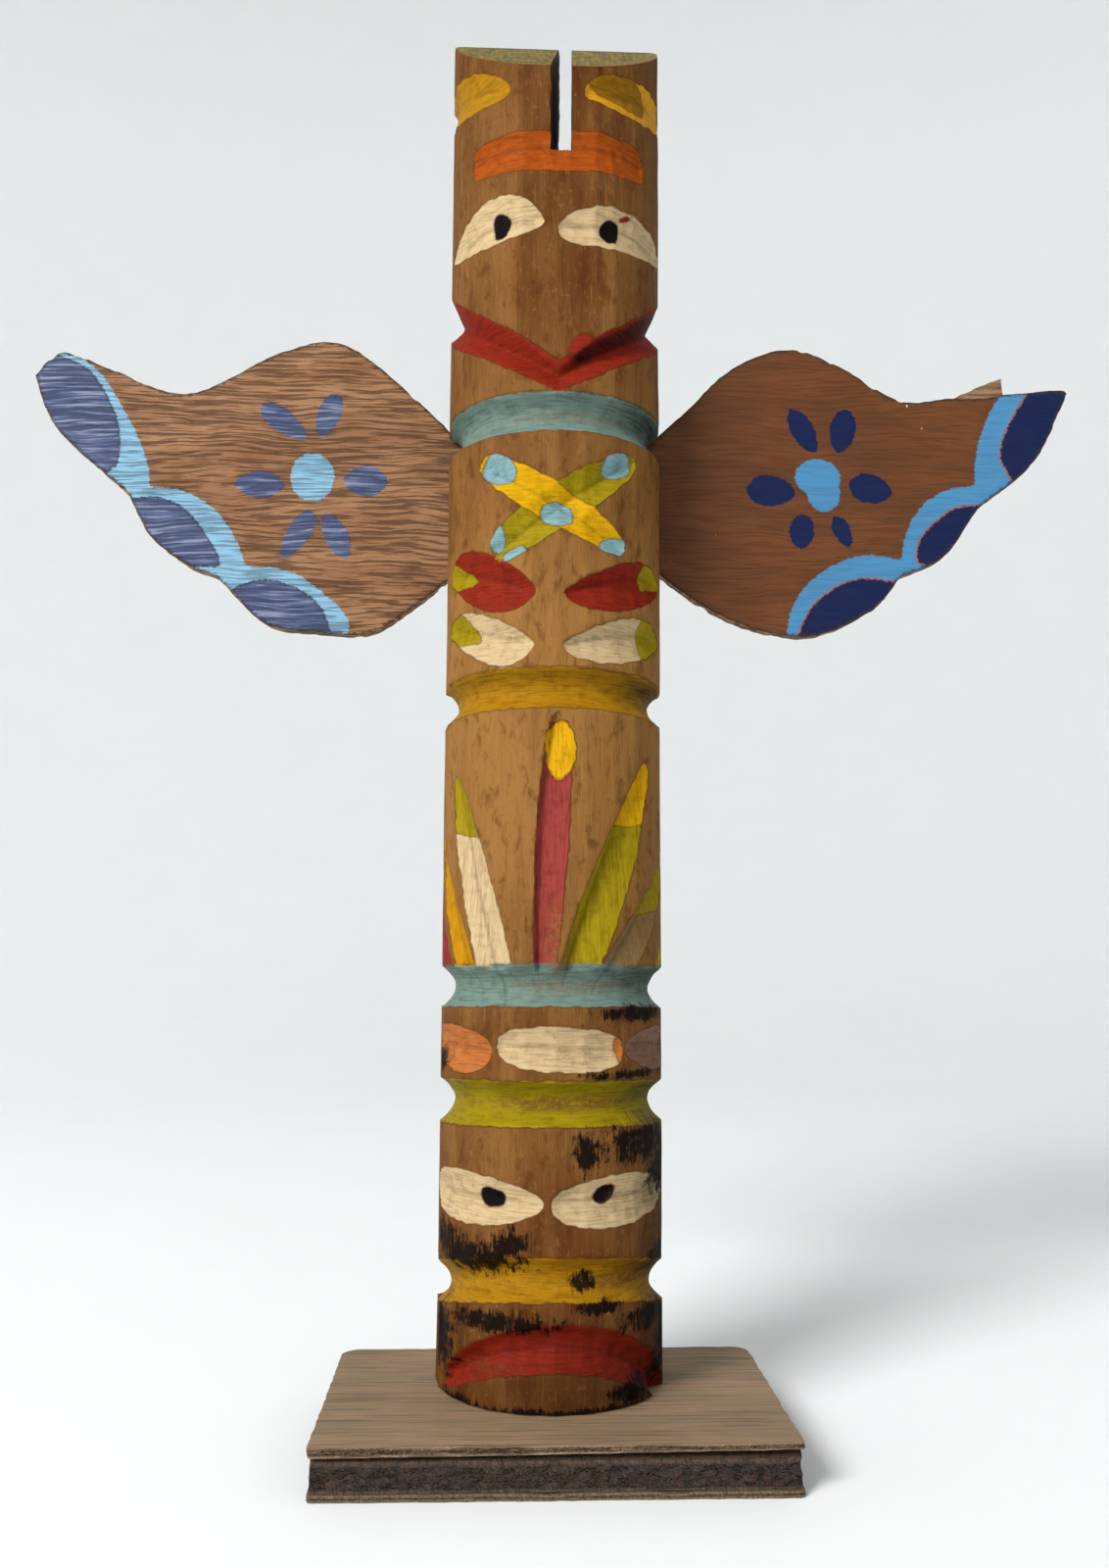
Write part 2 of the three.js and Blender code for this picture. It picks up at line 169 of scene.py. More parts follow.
# Painted wing tips: the outer edge of the pale band, the edge of the dark tip, a point in the tip.
WING_TIPS = [
    ([(-106.6, 230.3), (-102.7, 226.9), (-97.2, 218.2), (-93.9, 211.8), (-91.7, 205.2), (-91.3, 201.5)],
     [(-112.4, 231.4), (-105.8, 228), (-100.4, 219.5), (-98.6, 212.9), (-98.7, 206.9), (-100.4, 205)],
     (-112, 222)),
    ([(-91.3, 200.8), (-85.1, 200.7), (-79.3, 198.1), (-74.8, 194.3), (-71.6, 189.1), (-69.4, 183.9)],
     [(-94.5, 198.3), (-89, 198.6), (-83.9, 196.4), (-79.8, 192.1), (-76.5, 187), (-75.1, 183.8),
      (-75.7, 181.5)],
     (-88, 190)),
    ([(-69, 183), (-63.3, 182.9), (-57.5, 181.2), (-53, 178.1), (-48.6, 174.5), (-45.8, 170.7),
      (-45.8, 168.7)],
     [(-71.8, 177.8), (-67.5, 179.6), (-62.5, 179.7), (-56.7, 177.6), (-52.3, 173.8), (-50.2, 169.1)],
     (-62, 172)),
    ([(104.6, 226.7), (101.9, 222.5), (100, 217.5), (98.9, 214.1), (98.1, 209.7), (98, 205)],
     [(111.3, 227.9), (107.8, 222.4), (105.3, 217.4), (104.2, 213.2), (104.5, 210.7), (106.8, 206.6)],
     (114, 220)),
    ([(98.2, 205), (92.2, 204.1), (86.8, 201.2), (83.5, 197.2), (81.3, 192.5), (80.3, 186.4)],
     [(99.5, 200.5), (93.5, 199.7), (88.8, 196.6), (85.2, 192.6), (83.8, 188.6), (84.1, 186.3)],
     (94, 193)),
    ([(79.8, 187.1), (74.6, 188), (68.2, 187.2), (62.3, 184.1), (57.7, 180.1), (54.6, 174.8), (53.4, 169.5)],
     [(78.6, 181.8), (73.4, 182.6), (68.1, 181.9), (62.8, 179), (58.7, 174.8), (56.4, 170)],
     (68, 174)),
]

# Petals of the two painted flowers: outer end, inner end, half width, where widest, bluntness.
WING_PETALS = [
    ((-66.6, 220.8), (-56.4, 213.2), 2.7, 0.4, 0.5),
    ((-49.6, 224), (-53.4, 213.6), 2.6, 0.45, 0.5),
    ((-72.6, 202.4), (-61.3, 202), 3.2, 0.55, 0.55),
    ((-47.8, 203.6), (-38, 203.3), 3.7, 0.55, 0.5),
    ((-54.6, 196.2), (-61.3, 184.8), 2.6, 0.4, 0.6),
    ((-51.8, 195.6), (-46.6, 185.2), 2.7, 0.5, 0.55),
    ((55.2, 222.5), (60.6, 212.2), 2.7, 0.45, 0.5),
    ((68.2, 222.8), (66.2, 212.2), 3.0, 0.45, 0.5),
    ((45, 203.3), (55.7, 202.5), 3.6, 0.42, 0.4),
    ((68.6, 204.8), (78.4, 202.8), 3.5, 0.45, 0.5),
    ((57.6, 197.6), (57, 189.4), 2.9, 0.5, 0.45),
    ((65, 197), (68.5, 189.9), 2.1, 0.42, 0.55),
]
FLOWER_HEARTS = [(-54.8, 204.1, 5, 5.7), (61.2, 206.3, 5.3, 4.3), (62.6, 202.6, 3.9, 4.4)]
PALE_SPECKS = [(94.1, 221.7), (80.1, 217.6), (85.9, 218.2), (87, 218), (84.2, 214.6), (80.2, 211.2),
               (89.6, 210.2), (82.4, 224), (87.4, 222.2), (75.7, 225.8), (41.9, 224.8), (40.5, 222.2),
               (37.5, 192.4), (46.6, 183.3), (82.7, 191.8), (58.9, 191.3), (-49.5, 199.6), (58.6, 211.6),
               (115, 225.9)]


# The stage, in metres and degrees.
AIM = (0, 0, 0.15)
LIGHTS = {"key": ((-1.25, -1.4, 1.25), 0.9), "fill": ((0.9, -0.9, 0.5), 0.8)}
CAMERA = {"place": (-0.0117, -0.2861, 0.0987), "yaw": 2.35, "pitch": 6.74, "roll": 0.29, "lens": 31.25,
          "sensor": 36, "near": 0.01}


# ---- sizes and colours that a user may change --------------------------------------------

class PoleSettings(bpy.types.PropertyGroup):
    carving: share("Carving", "Share of the full depth that the chisel cuts are made", 1.0)
    whittling: size("Whittling", "Height of the knife marks left on the plain wood", 0.00012)
    slot_tear: size("Slot tear", "How far the sawn walls of the slot are torn", 0.00035)
    # The dark wood colour also draws the painted shade line along every edge of the paint.
    wood_dark: colour("Dark wood", "Stained wood in the grain", "432007")
    wood_pale: colour("Pale wood", "Bare wood of the middle of the pole", "7f592c")
    # Dark stain of the bark patches and saw marks, and also the colour of the painted shade in the cut
    # valleys, the grooves' right ends, the beak's right arm, the pole's right side and the slot.
    dirt_and_shade: colour("Dirt", "Dark stain in the corners and on the bark patches", "060302")
    cream: colour("Cream paint", "Eyes, lower petals and feathers", "af9872")
    red: colour("Red paint", "Beak, upper petals and mouth", "741e0e")
    crimson: colour("Crimson paint", "The middle feather", "7f322c")
    maroon: colour("Maroon paint", "The strip at the far left of the feathers", "742120")
    orange: colour("Orange paint", "The brow", "8c400b")
    peach: colour("Peach paint", "The left dash and one end of the middle one", "9e5c2c")
    # A darker copy of the mustard: painted shade on the upper wall of the right ear.
    shaded_mustard: colour("Ochre paint", "Upper part of the right ear", "805808")
    mustard: colour("Mustard paint", "Lower part of the right ear", "b78414")
    yellow: colour("Yellow paint", "Left ear and two grooves", "92680a")
    bright: colour("Bright yellow paint", "Falling arm and feather tips", "b88b06")
    amber: colour("Amber paint", "Left side feather", "a07104")
    lime: colour("Lime paint", "Rising arm, petal ends, one groove and feather tips", "847209")
    teal: colour("Teal paint", "Two grooves", "64786e")
    blue: colour("Pale blue paint", "Patches on the crossed arms", "6e8f92")
    # A darker cream for the right side feather.
    dark_cream: colour("Darker cream paint", "Right side feather", "775f3c")
    mauve: colour("Mauve paint", "The right dash", "745541")
    black: colour("Black paint", "Pupils", "060505")
    green: colour("Green paint", "The sloping top", "75631a")


class WingSettings(bpy.types.PropertyGroup):
    ply: size("Ply", "Thickness of one of the three plies", 0.00098)
    ragged: size("Ragged edge", "How rough the sawn edge is", 0.0003)
    # The left wing's wood is paler than the right's: partly its own colour, partly painted sheen of the light
    # from the left.
    wood_left: colour("Left wood", "Ridges of the wood on the left wing", "886344")
    grain_left: colour("Left grain", "Open grain of the left wing", "3c2416")
    wood_right: colour("Right wood", "Wood of the right wing", "5c3519")
    grain_right: colour("Right grain", "Grain of the right wing", "40240f")
    sky: colour("Pale blue paint", "Bands round the wing tips and hearts of the flowers", "3c7196")
    navy: colour("Dark blue paint", "Wing tips and petals", "031239")
    # Paler, greyer copies of the two blues for the left wing: painted sheen over its more worn paint.
    left_sky_with_sheen: colour("Worn pale blue", "Pale blue paint of the left wing", "719ab1")
    left_navy_with_sheen: colour("Worn dark blue", "Dark blue paint of the left wing", "404967")
    bare: colour("Bare ply", "Ply where the face is broken away", "b08556")


class BaseSettings(bpy.types.PropertyGroup):
    gape: size("Gape", "How far the top ply has lifted along the front edge", 0.0009)
    top: colour("Greyed top", "Weathered top of the base", "7d684c")
    streak: colour("Dark streak", "Dark grain in the top of the base", "4d3b29")
    veneer: colour("Veneer edge", "Cut edge of the top ply", "8f7354")
    core: colour("Core", "Cut edge of the core ply", "4a3526")
    under: colour("Bottom ply", "Cut edge of the bottom ply", "6d5f40")


class StageSettings(bpy.types.PropertyGroup):
    reach: size("Reach", "Distance from the part to the rim of the floor", 2.2)
    floor: colour("Floor", "Plain pale floor", "e9ebeb")
    key: FloatProperty(name="Key light", description="Power of the large soft light", default=60.0,
                       unit="POWER")
    fill: FloatProperty(name="Fill light", description="Power of the light on the right", default=0.8,
                        unit="POWER")
    sky: FloatProperty(name="Room light", description="Strength of the even light of the room", default=0.33)


# ---- helpers for shapes ------------------------------------------------------------------

def ripple(a, b, seed):
    """Smooth noise from -1 to 1 over two coordinates, the same at every run."""
    low_a, low_b = np.floor(a), np.floor(b)
    part_a, part_b = a - low_a, b - low_b
    part_a = part_a * part_a * (3 - 2 * part_a)
    part_b = part_b * part_b * (3 - 2 * part_b)

    def corner(i, j):
        wild = np.sin((low_a + i) * 127.1 + (low_b + j) * 311.7 + seed * 74.7) * 43758.5453
        return 2 * (wild - np.floor(wild)) - 1

    near = corner(0, 0) * (1 - part_a) + corner(1, 0) * part_a
    far = corner(0, 1) * (1 - part_a) + corner(1, 1) * part_a
    return near * (1 - part_b) + far * part_b


def smooth(low, high, value):
    """Rises smoothly from 0 to 1 as the value goes from low to high, or the other way."""
    step = np.clip((value - low) / (high - low), 0, 1)
    return step * step * (3 - 2 * step)


def lip_share(t, widest, blunt):
    """How far a lip stands off its valley at t along it, as a share of its greatest width."""
    power = math.log(0.5) / math.log(widest)
    return np.maximum(0, np.sin(np.pi * np.clip(t, 0, 1) ** power)) ** blunt


def leaf(u, v, start, end, up, down, blunt, bow=0, lean=0.0, roundness=0.0):
    """A pointed shape between two ends: distance inside its edge, and closeness to its middle line."""
    along = np.subtract(end, start).astype(float)
    length = np.hypot(*along)
    along /= length
    across = np.array([-along[1], along[0]])
    if across[1] < 0:
        across = -across
    du, dv = u - start[0], v - start[1]
    t = (du * along[0] + dv * along[1]) / length
    inside_t = np.clip(t, 0, 1)
    off = du * across[0] + dv * across[1] - bow * 4 * inside_t * (1 - inside_t)
    lip_up = up[0] * lip_share(t, up[1], blunt)
    lip_down = down[0] * lip_share(t, down[1], blunt)
    inside = np.minimum(lip_up - off, lip_down + off)
    past = np.maximum(-t, t - 1) * length
    inside = np.where(past > 0, -np.hypot(past, off), inside)
    middle = lean * np.where(lean > 0, lip_up, lip_down)
    lip = np.where(off > middle, lip_up - middle, lip_down + middle)
    valley = np.clip(1 - np.abs(off - middle) / np.maximum(lip, 0.12), 0, 1) * (past <= 0)
    valley = roundness * (1 - (1 - valley) ** 2) + (1 - roundness) * valley
    valley = valley * np.clip((lip_up + lip_down) / (0.6 * (up[0] + down[0])), 0, 1)
    return inside, valley


def oval(u, v, centre, halves, tilt=0):
    """Distance inside an oval."""
    c, s = math.cos(math.radians(tilt)), math.sin(math.radians(tilt))
    du, dv = u - centre[0], v - centre[1]
    a, b = (du * c + dv * s) / halves[0], (dv * c - du * s) / halves[1]
    return (1 - np.hypot(a, b)) * min(halves)


def smooth_line(points, steps=5):
    """A smooth line through points."""
    points = np.asarray(points, float)
    if len(points) < 3:
        return points
    padded = np.vstack([2 * points[0] - points[1], points, 2 * points[-1] - points[-2]])
    line = []
    for i in range(1, len(padded) - 2):
        p0, p1, p2, p3 = padded[i - 1:i + 3]
        for t in np.linspace(0, 1, steps, endpoint=False):
            line.append(0.5 * (2 * p1 + (p2 - p0) * t + (2 * p0 - 5 * p1 + 4 * p2 - p3) * t ** 2
                               + (3 * p1 - p0 - 3 * p2 + p3) * t ** 3))
    line.append(points[-1])
    return np.array(line)


def distance_to_line(u, v, line):
    """Distance of points to a line of segments, and on which side of the nearest one they lie."""
    best = np.full(u.shape, 1e9)
    side = np.zeros(u.shape)
    for p, q in zip(line[:-1], line[1:]):
        run = q - p
        t = np.clip(((u - p[0]) * run[0] + (v - p[1]) * run[1]) / max(run @ run, 1e-9), 0, 1)
        du, dv = u - p[0] - t * run[0], v - p[1] - t * run[1]
        gap = np.hypot(du, dv)
        nearer = gap < best - 1e-9
        best = np.where(nearer, gap, best)
        side = np.where(nearer, np.sign(run[0] * dv - run[1] * du), side)
    return best, side


def beyond(u, v, points, inner):
    """Distance past a line of points, on the side where the inner point lies."""
    line = smooth_line(points)
    first, last = line[0] - line[1], line[-1] - line[-2]
    line = np.vstack([line[0] + first / np.hypot(*first) * 40, line, line[-1] + last / np.hypot(*last) * 40])
    gap, side = distance_to_line(u, v, line)
    _, wanted = distance_to_line(np.array([float(inner[0])]), np.array([float(inner[1])]), line)
    return gap * np.where(side == wanted[0], 1, -1)


def finished_mesh(bm, name):
    """Writes an edited mesh out under a name, and frees it."""
    mesh = bpy.data.meshes.new(name)
    bm.to_mesh(mesh)
    bm.free()
    return mesh


def add_ply_to(bm, ply):
    """Turns a ply's faces outward and adds the ply to a larger mesh."""
    bmesh.ops.recalc_face_normals(ply, faces=ply.faces)
    spare = finished_mesh(ply, "ply")
    bm.from_mesh(spare)
    bpy.data.meshes.remove(spare)


def cut_into_strips(ply, normal, start, end, width):
    """Cuts a mesh with planes a width apart along a direction."""
    for place in np.arange(start, end, width):
        bmesh.ops.bisect_plane(ply, geom=ply.verts[:] + ply.edges[:] + ply.faces[:],
                               plane_co=Vector(normal) * place, plane_no=normal, dist=0.02)


def coordinates(mesh):
    """The places of a mesh's vertices, one row each."""
    flat = np.zeros(len(mesh.vertices) * 3)
    mesh.vertices.foreach_get("co", flat)
    return flat.reshape(-1, 3)


def keep_field(mesh, name, values):
    """Keeps one number at each vertex, for the materials to read."""
    field = mesh.attributes.new(name, "FLOAT", "POINT")
    field.data.foreach_set("value", np.asarray(values, np.float32))


def finish_piece(name, mesh, materials, node, sharp=40):
    """Links a finished mesh as a piece that rides with the part and stands for a node."""
    sides = [polygon.material_index for polygon in mesh.polygons]
    mesh.materials.clear()
    for material in materials:
        mesh.materials.append(material)
    mesh.polygons.foreach_set("material_index", sides)
    for polygon in mesh.polygons:
        polygon.use_smooth = True
    mesh.set_sharp_from_angle(angle=math.radians(sharp))
    piece = bpy.data.objects.new(name, mesh)
    bpy.context.scene.collection.objects.link(piece)
    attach(piece, "root")
    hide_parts(node)
    return piece


# ---- helpers for materials ---------------------------------------------------------------

class Finish:
    """One material, and the nodes that colour and roughen it. Feature sizes are in millimetres."""

    def __init__(self, name):
        self.material = bpy.data.materials.new(name)
        self.material.use_nodes = True
        self.tree = self.material.node_tree
        self.tree.nodes.clear()
        self.shader = self.tree.nodes.new("ShaderNodeBsdfPrincipled")
        output = self.tree.nodes.new("ShaderNodeOutputMaterial")
        self.tree.links.new(self.shader.outputs[0], output.inputs[0])
        self.place = self.node("ShaderNodeTexCoord", {}).outputs["Object"]

    def node(self, kind, inputs, **settings):
        node = self.tree.nodes.new(kind)
        for key, value in settings.items():
            setattr(node, key, value)
        for key, value in inputs.items():
            self.feed(node.inputs[key], value)
        return node

    def feed(self, socket, value):
        if isinstance(value, bpy.types.NodeSocket):
            self.tree.links.new(value, socket)
        elif socket.type == "RGBA" and len(value) == 3:
            socket.default_value = (*value, 1)
        else:
            socket.default_value = value

    def field(self, name):
        return self.node("ShaderNodeAttribute", {}, attribute_name=name).outputs["Fac"]

    def math(self, operation, a, b=0.0, clamp=False):
        return self.node("ShaderNodeMath", {0: a, 1: b}, operation=operation, use_clamp=clamp).outputs[0]

    def times(self, a, b):
        return self.math("MULTIPLY", a, b)

    def plus(self, a, b, clamp=False):
        return self.math("ADD", a, b, clamp)

    def step(self, value, low, high, start=0.0, end=1.0):
        """Rises smoothly from start to end as the value goes from low to high."""
        sockets = {"Value": value, "From Min": low, "From Max": high, "To Min": start, "To Max": end}
        return self.node("ShaderNodeMapRange", sockets, interpolation_type="SMOOTHSTEP").outputs[0]

    def mix(self, amount, a, b, kind="MIX"):
        node = self.node("ShaderNodeMix", {0: amount, 6: a, 7: b}, data_type="RGBA", blend_type=kind)
        return node.outputs[2]

    def axis(self, name):
        """One object coordinate, in millimetres."""
        split = self.node("ShaderNodeSeparateXYZ", {0: self.place}).outputs[name]
        return self.math("MULTIPLY", split, 1000.0)

    def speckle(self, feature, detail=3.0, rough=0.55, twist=0.0, shift=(0, 0, 0), place=None, unit=1000.0):
        """Noise whose spots have the given size along x, y and z."""
        scale = tuple(unit / side for side in feature)
        where = self.place if place is None else place
        placing = {"Vector": where, "Location": shift, "Scale": scale}
        mapped = self.node("ShaderNodeMapping", placing).outputs[0]
        sockets = {"Vector": mapped, "Scale": 1.0, "Detail": detail, "Roughness": rough, "Distortion": twist}
        return self.node("ShaderNodeTexNoise", sockets).outputs["Fac"]

    def bump(self, height, depth, under=None):
        """Bends the surface by a height from 0 to 1 that stands for a depth in millimetres."""
        sockets = {"Height": height, "Distance": depth * MM, "Strength": 1.0}
        if under is not None:
            sockets["Normal"] = under
        return self.node("ShaderNodeBump", sockets).outputs[0]

    def done(self, base, roughness, normal, **constants):
        self.feed(self.shader.inputs["Base Color"], base)
        self.feed(self.shader.inputs["Roughness"], roughness)
        self.feed(self.shader.inputs["Normal"], normal)
        for key, value in constants.items():
            self.shader.inputs[key.replace("_", " ")].default_value = value
        return self.material


# ---- the pole ----------------------------------------------------------------------------

def column_angle(u):
    """Angle round the pole of a grid column: close columns on the face, wide ones behind."""
    half = np.abs(u)
    face, side = FACE_ARC / RADIUS, math.atan2(BACK_HALF, -(BACK_Y - AXIS_Y))
    wide = BACK_HALF * (1 - (half - SIDE_SHARE) / (1 - SIDE_SHARE))
    behind = np.arctan2(np.clip(wide, 0, BACK_HALF), -(BACK_Y - AXIS_Y))
    share_of_side = (half - FACE_SHARE) / (SIDE_SHARE - FACE_SHARE)
    angle = np.where(half < FACE_SHARE, half / FACE_SHARE * face, face + share_of_side * (side - face))
    angle = np.where(half > SIDE_SHARE, behind, angle)
    return angle * np.sign(u)


def blank_reach(angle, z):
    """Distance from the pole's axis to the uncarved surface."""
    corner = RADIUS / math.cos(FACET / 2)
    off = np.mod(angle, FACET) - FACET / 2
    reach = RADIUS / np.cos(off)
    planed = (AXIS_Y - PLANED["y"]) / np.maximum(np.cos(angle), 0.2)
    reach = np.where(z > PLANED["from"], np.minimum(reach, planed), reach)
    side = corner / np.maximum(np.abs(np.sin(angle)), 0.2)
    back = (BACK_Y - AXIS_Y) / np.maximum(-np.cos(angle), 1e-6)
    behind = np.abs(angle) > math.pi / 2
    return np.where(behind, np.minimum(side, back), reach)


def groove_edges(s, groove):
    """Heights of a groove's two edges, which sag towards the sides."""
    low, high, drop, _ = groove
    sag = drop * (1 - np.maximum(0, np.cos(s / RADIUS)))
    return low - sag, high - sag


def beak_heights(s):
    """Heights of the beak's upper edge, valley and lower edge."""
    far = np.clip(np.abs(s) / BEAK["side"], 0, 1.3)
    return [BEAK[part][0] + (BEAK[part][1] - BEAK[part][0]) * far for part in ("upper", "valley", "lower")]


def carved_reach(s, z, settings):
    """Distance from the pole's axis to the carved surface at s round the face and height z."""
    angle = s / RADIUS
    reach = blank_reach(angle, z)
    face = smooth(43, 40, np.abs(s))
    marks = ripple(s / 2.6, z / 34, 1) + 0.6 * ripple(s / 1.1, z / 12, 2) + 0.5 * ripple(s / 6, z / 7, 3)
    reach = reach + settings.whittling / MM * (marks - 1.6) * face
    for name, groove in GROOVES.items():
        low, high = groove_edges(s, groove)
        low = low + 0.35 * ripple(s / 7, z * 0, len(name))
        high = high + 0.35 * ripple(s / 6, z * 0, len(name) + 5)
        t = (z - low) / (high - low)
        bite = groove[3] * 4 * t * (1 - t)
        worn = 0.14 * ripple(s / 3.1, z / 1.6, 7)
        inside = (t > 0) & (t < 1)
        reach = np.where(inside, np.minimum(reach, RADIUS - bite + worn), reach)
    upper, valley, lower = beak_heights(s)
    t = np.where(z > valley, (upper - z) / (upper - valley), (z - lower) / (valley - lower))
    beak = RADIUS - BEAK["deep"] * t + 0.1 * ripple(s / 3, z / 2, 9)
    reach = np.where(t > 0, np.minimum(reach, beak), reach)
    for number, (name, (start, end, up, down, blunt, deep, bow)) in enumerate(CUTS.items()):
        _, near = leaf(s, z, start, end, up, down, blunt, bow, *VALLEYS.get(name, PLAIN_VALLEY))
        if "feather" in name:
            near = near * smooth(FEATHER_FOOT - 0.9, FEATHER_FOOT - 0.2, z)
        strokes = 0.14 * ripple(s / 1.7, z / 1.7, number) * smooth(0, 0.25, near)
        reach = reach - settings.carving * deep * near + strokes
    return reach


def both(*fields):
    """The distance inside all of some shapes at once."""
    return np.minimum.reduce([np.broadcast_to(field, fields[0].shape) for field in fields])


def past(s, z, point, heading):
    """Distance past a line through a point, in the direction of a heading in degrees."""
    turn = math.radians(heading)
    return (s - point[0]) * math.cos(turn) + (z - point[1]) * math.sin(turn)


def pole_coats(s, z, p):
    """Three coats of paint: lists of (distance inside the shape, colour, how upright the strokes run)."""
    cuts = {name: leaf(s, z, *cut[:5], cut[6])[0] for name, cut in CUTS.items()}
    grooves = {}
    for name, groove in GROOVES.items():
        low, high = groove_edges(s, groove)
        grooves[name] = np.minimum(z - low, high - z)
    upper, _, lower = beak_heights(s)
    beak = np.minimum(upper - z, z - lower) * 0.82
    falling, rising = cuts["falling arm"], cuts["rising arm"]
    for name in cuts:
        if "feather" in name:
            cuts[name] = both(cuts[name], z - FEATHER_FOOT)
    middle = both(cuts["middle feather"], past(s, z, (0.6, 96.6), 172), 143.6 - z)
    far_left = both(z - FEATHER_FOOT, 111 - z, (-25.6 - s) - 0.52 * (z - 92))
    far_right = leaf(s, z, (22, 86), (40, 106), (2.2, 0.5), (2.2, 0.5), 0.5)[0]
    first = [
        (cuts["left ear"], p.yellow, 0), (cuts["right ear"], p.mustard, 0), (cuts["brow"], p.orange, 0),
        (cuts["left eye"], p.cream, 0), (cuts["right eye"], p.cream, 0), (beak, p.red, 0),
        (grooves["under the beak"], p.teal, 0), (rising, p.lime, 0.3),
        (cuts["upper left petal"], p.red, 0), (cuts["upper right petal"], p.red, 0),
        (cuts["lower left petal"], p.cream, 0), (cuts["lower right petal"], p.cream, 0),
        (grooves["under the petals"], p.yellow, 0), (middle, p.crimson, 1),
        (cuts["left feather"], p.cream, 1), (cuts["left side feather"], p.amber, 1),
        (cuts["right feather"], p.lime, 1), (cuts["right side feather"], p.dark_cream, 1),
        (grooves["under the feathers"], p.teal, 0), (cuts["left dash"], p.peach, 0),
        (cuts["middle dash"], p.cream, 0), (cuts["right dash"], p.mauve, 0),
        (grooves["above the lower eyes"], p.lime, 0), (cuts["lower left eye"], p.cream, 0),
        (cuts["lower right eye"], p.cream, 0), (grooves["above the mouth"], p.yellow, 0),
        (cuts["mouth"], p.red, 0), (far_left, p.maroon, 1),
        (both(far_right, z - FEATHER_FOOT), p.amber, 1),
    ]
    second = [
        # Painted shade: the upper wall of the right ear takes the darker copy of the mustard.
        (both(oval(s, z, (14.8, 284), (9.4, 4.0), -6), cuts["right ear"] + 0.15), p.shaded_mustard, 0),
        (falling, p.bright, 0.2),
        (both(cuts["upper left petal"], past(s, z, (-19.5, 174.7), 240), past(s, z, (-19.5, 174.2), 99)),
         p.lime, 0.5),
        (both(cuts["upper right petal"], s - 21.6, past(s, z, (24, 173.8), 100)), p.lime, 0.5),
        (both(cuts["lower left petal"], past(s, z, (-18.7, 162), 221), z - 161.2), p.lime, 0.5),
        (both(cuts["lower right petal"], s - 20.6), p.lime, 0.5),
        (both(oval(s, z, (4.6, 224), (3.4, 1.6), 42), z - 221), p.red, 0),
        (oval(s, z, (16, 254.3), (1.5, 0.5), 20), p.red, 0),
        (oval(s, z, (0.6, 137.8), (3.2, 5.9)), p.bright, 1),
        (both(cuts["left feather"], past(s, z, (-22, 121), 80)), p.lime, 1),
        (both(cuts["right feather"], past(s, z, (17, 123), 92)), p.bright, 1),
        (both(cuts["right side feather"], past(s, z, (25, 105.6), 100)), p.lime, 1),
        (both(cuts["middle dash"], s - 13.0 + 0.2 * (z - 78)), p.peach, 0),
    ]
    third = [
        (both(falling + 0.5, oval(s, z, (-13.6, 197.4), (4.4, 3.1), -18)), p.blue, 0),
        (both(rising + 0.4, oval(s, z, (13.7, 198.8), (4.2, 2.7), 22)), p.blue, 0),
        (both(falling + 0.3, oval(s, z, (12.6, 180.8), (3.6, 2.1), 8)), p.blue, 0),
        (both(rising + 0.4, oval(s, z, (-13.6, 182.4), (1.6, 3.0), -14)), p.blue, 0),
        (both(rising + 0.4, oval(s, z, (-9.4, 178.6), (2.8, 1.7), 12)), p.blue, 0),
        (oval(s, z, (-0.3, 187.2), (3.9, 2.9), -10), p.blue, 0),
        (oval(s, z, (-13.7, 251.3), (2.3, 3.1), 12), p.black, 0),
        (oval(s, z, (11.8, 250.2), (2.3, 2.9), -28), p.black, 0),
        (oval(s, z, (-13.6, 49.3), (3.1, 1.9), -8), p.black, 0),
        (oval(s, z, (10.5, 50.2), (2.6, 1.6), 25), p.black, 0),
    ]
    return [first, second, third]


def keep_coats(mesh, s, z, settings):
    """Keeps, for each coat, the distance inside its nearest shape and that shape's colour."""
    upright = np.zeros(s.shape)
    for number, coat in enumerate(pole_coats(s, z, settings), 1):
        fields = np.stack([field for field, _, _ in coat])
        nearest = fields.argmax(0)
        edge = np.minimum(np.clip(fields.max(0), -4, 4), 43 - np.abs(s))
        colours = np.array([tuple(paint) for _, paint, _ in coat])[nearest]
        strokes = np.array([stroke for _, _, stroke in coat])[nearest]
        upright = np.where(edge > -0.5, strokes, upright)
        keep_field(mesh, f"edge{number}", edge)
        layer = mesh.attributes.new(f"paint{number}", "FLOAT_COLOR", "POINT")
        layer.data.foreach_set("color", np.column_stack([colours, np.ones(len(colours))]).ravel())
    keep_field(mesh, "upright", upright)
    # Closeness to the cuts' valleys, by which the material paints shade in their bottoms.
    valleys = [leaf(s, z, *cut[:5], cut[6], VALLEYS.get(name, PLAIN_VALLEY)[0])[1]
               for name, cut in CUTS.items()]
    keep_field(mesh, "depth", np.maximum.reduce(valleys))


def wood_height_tone(z):
    """How pale the bare wood is at each height, from 0 to 1."""
    heights = [10, 30, 45, 60, 82, 96, 112, 140, 160, 176, 190, 210, 235, 260, 300]
    pale = [0.1, 0.18, 0.22, 0.45, 0.3, 0.6, 0.75, 0.9, 0.9, 0.85, 0.5, 0.5, 0.4, 0.4, 0.2]
    return np.interp(z, heights, pale)


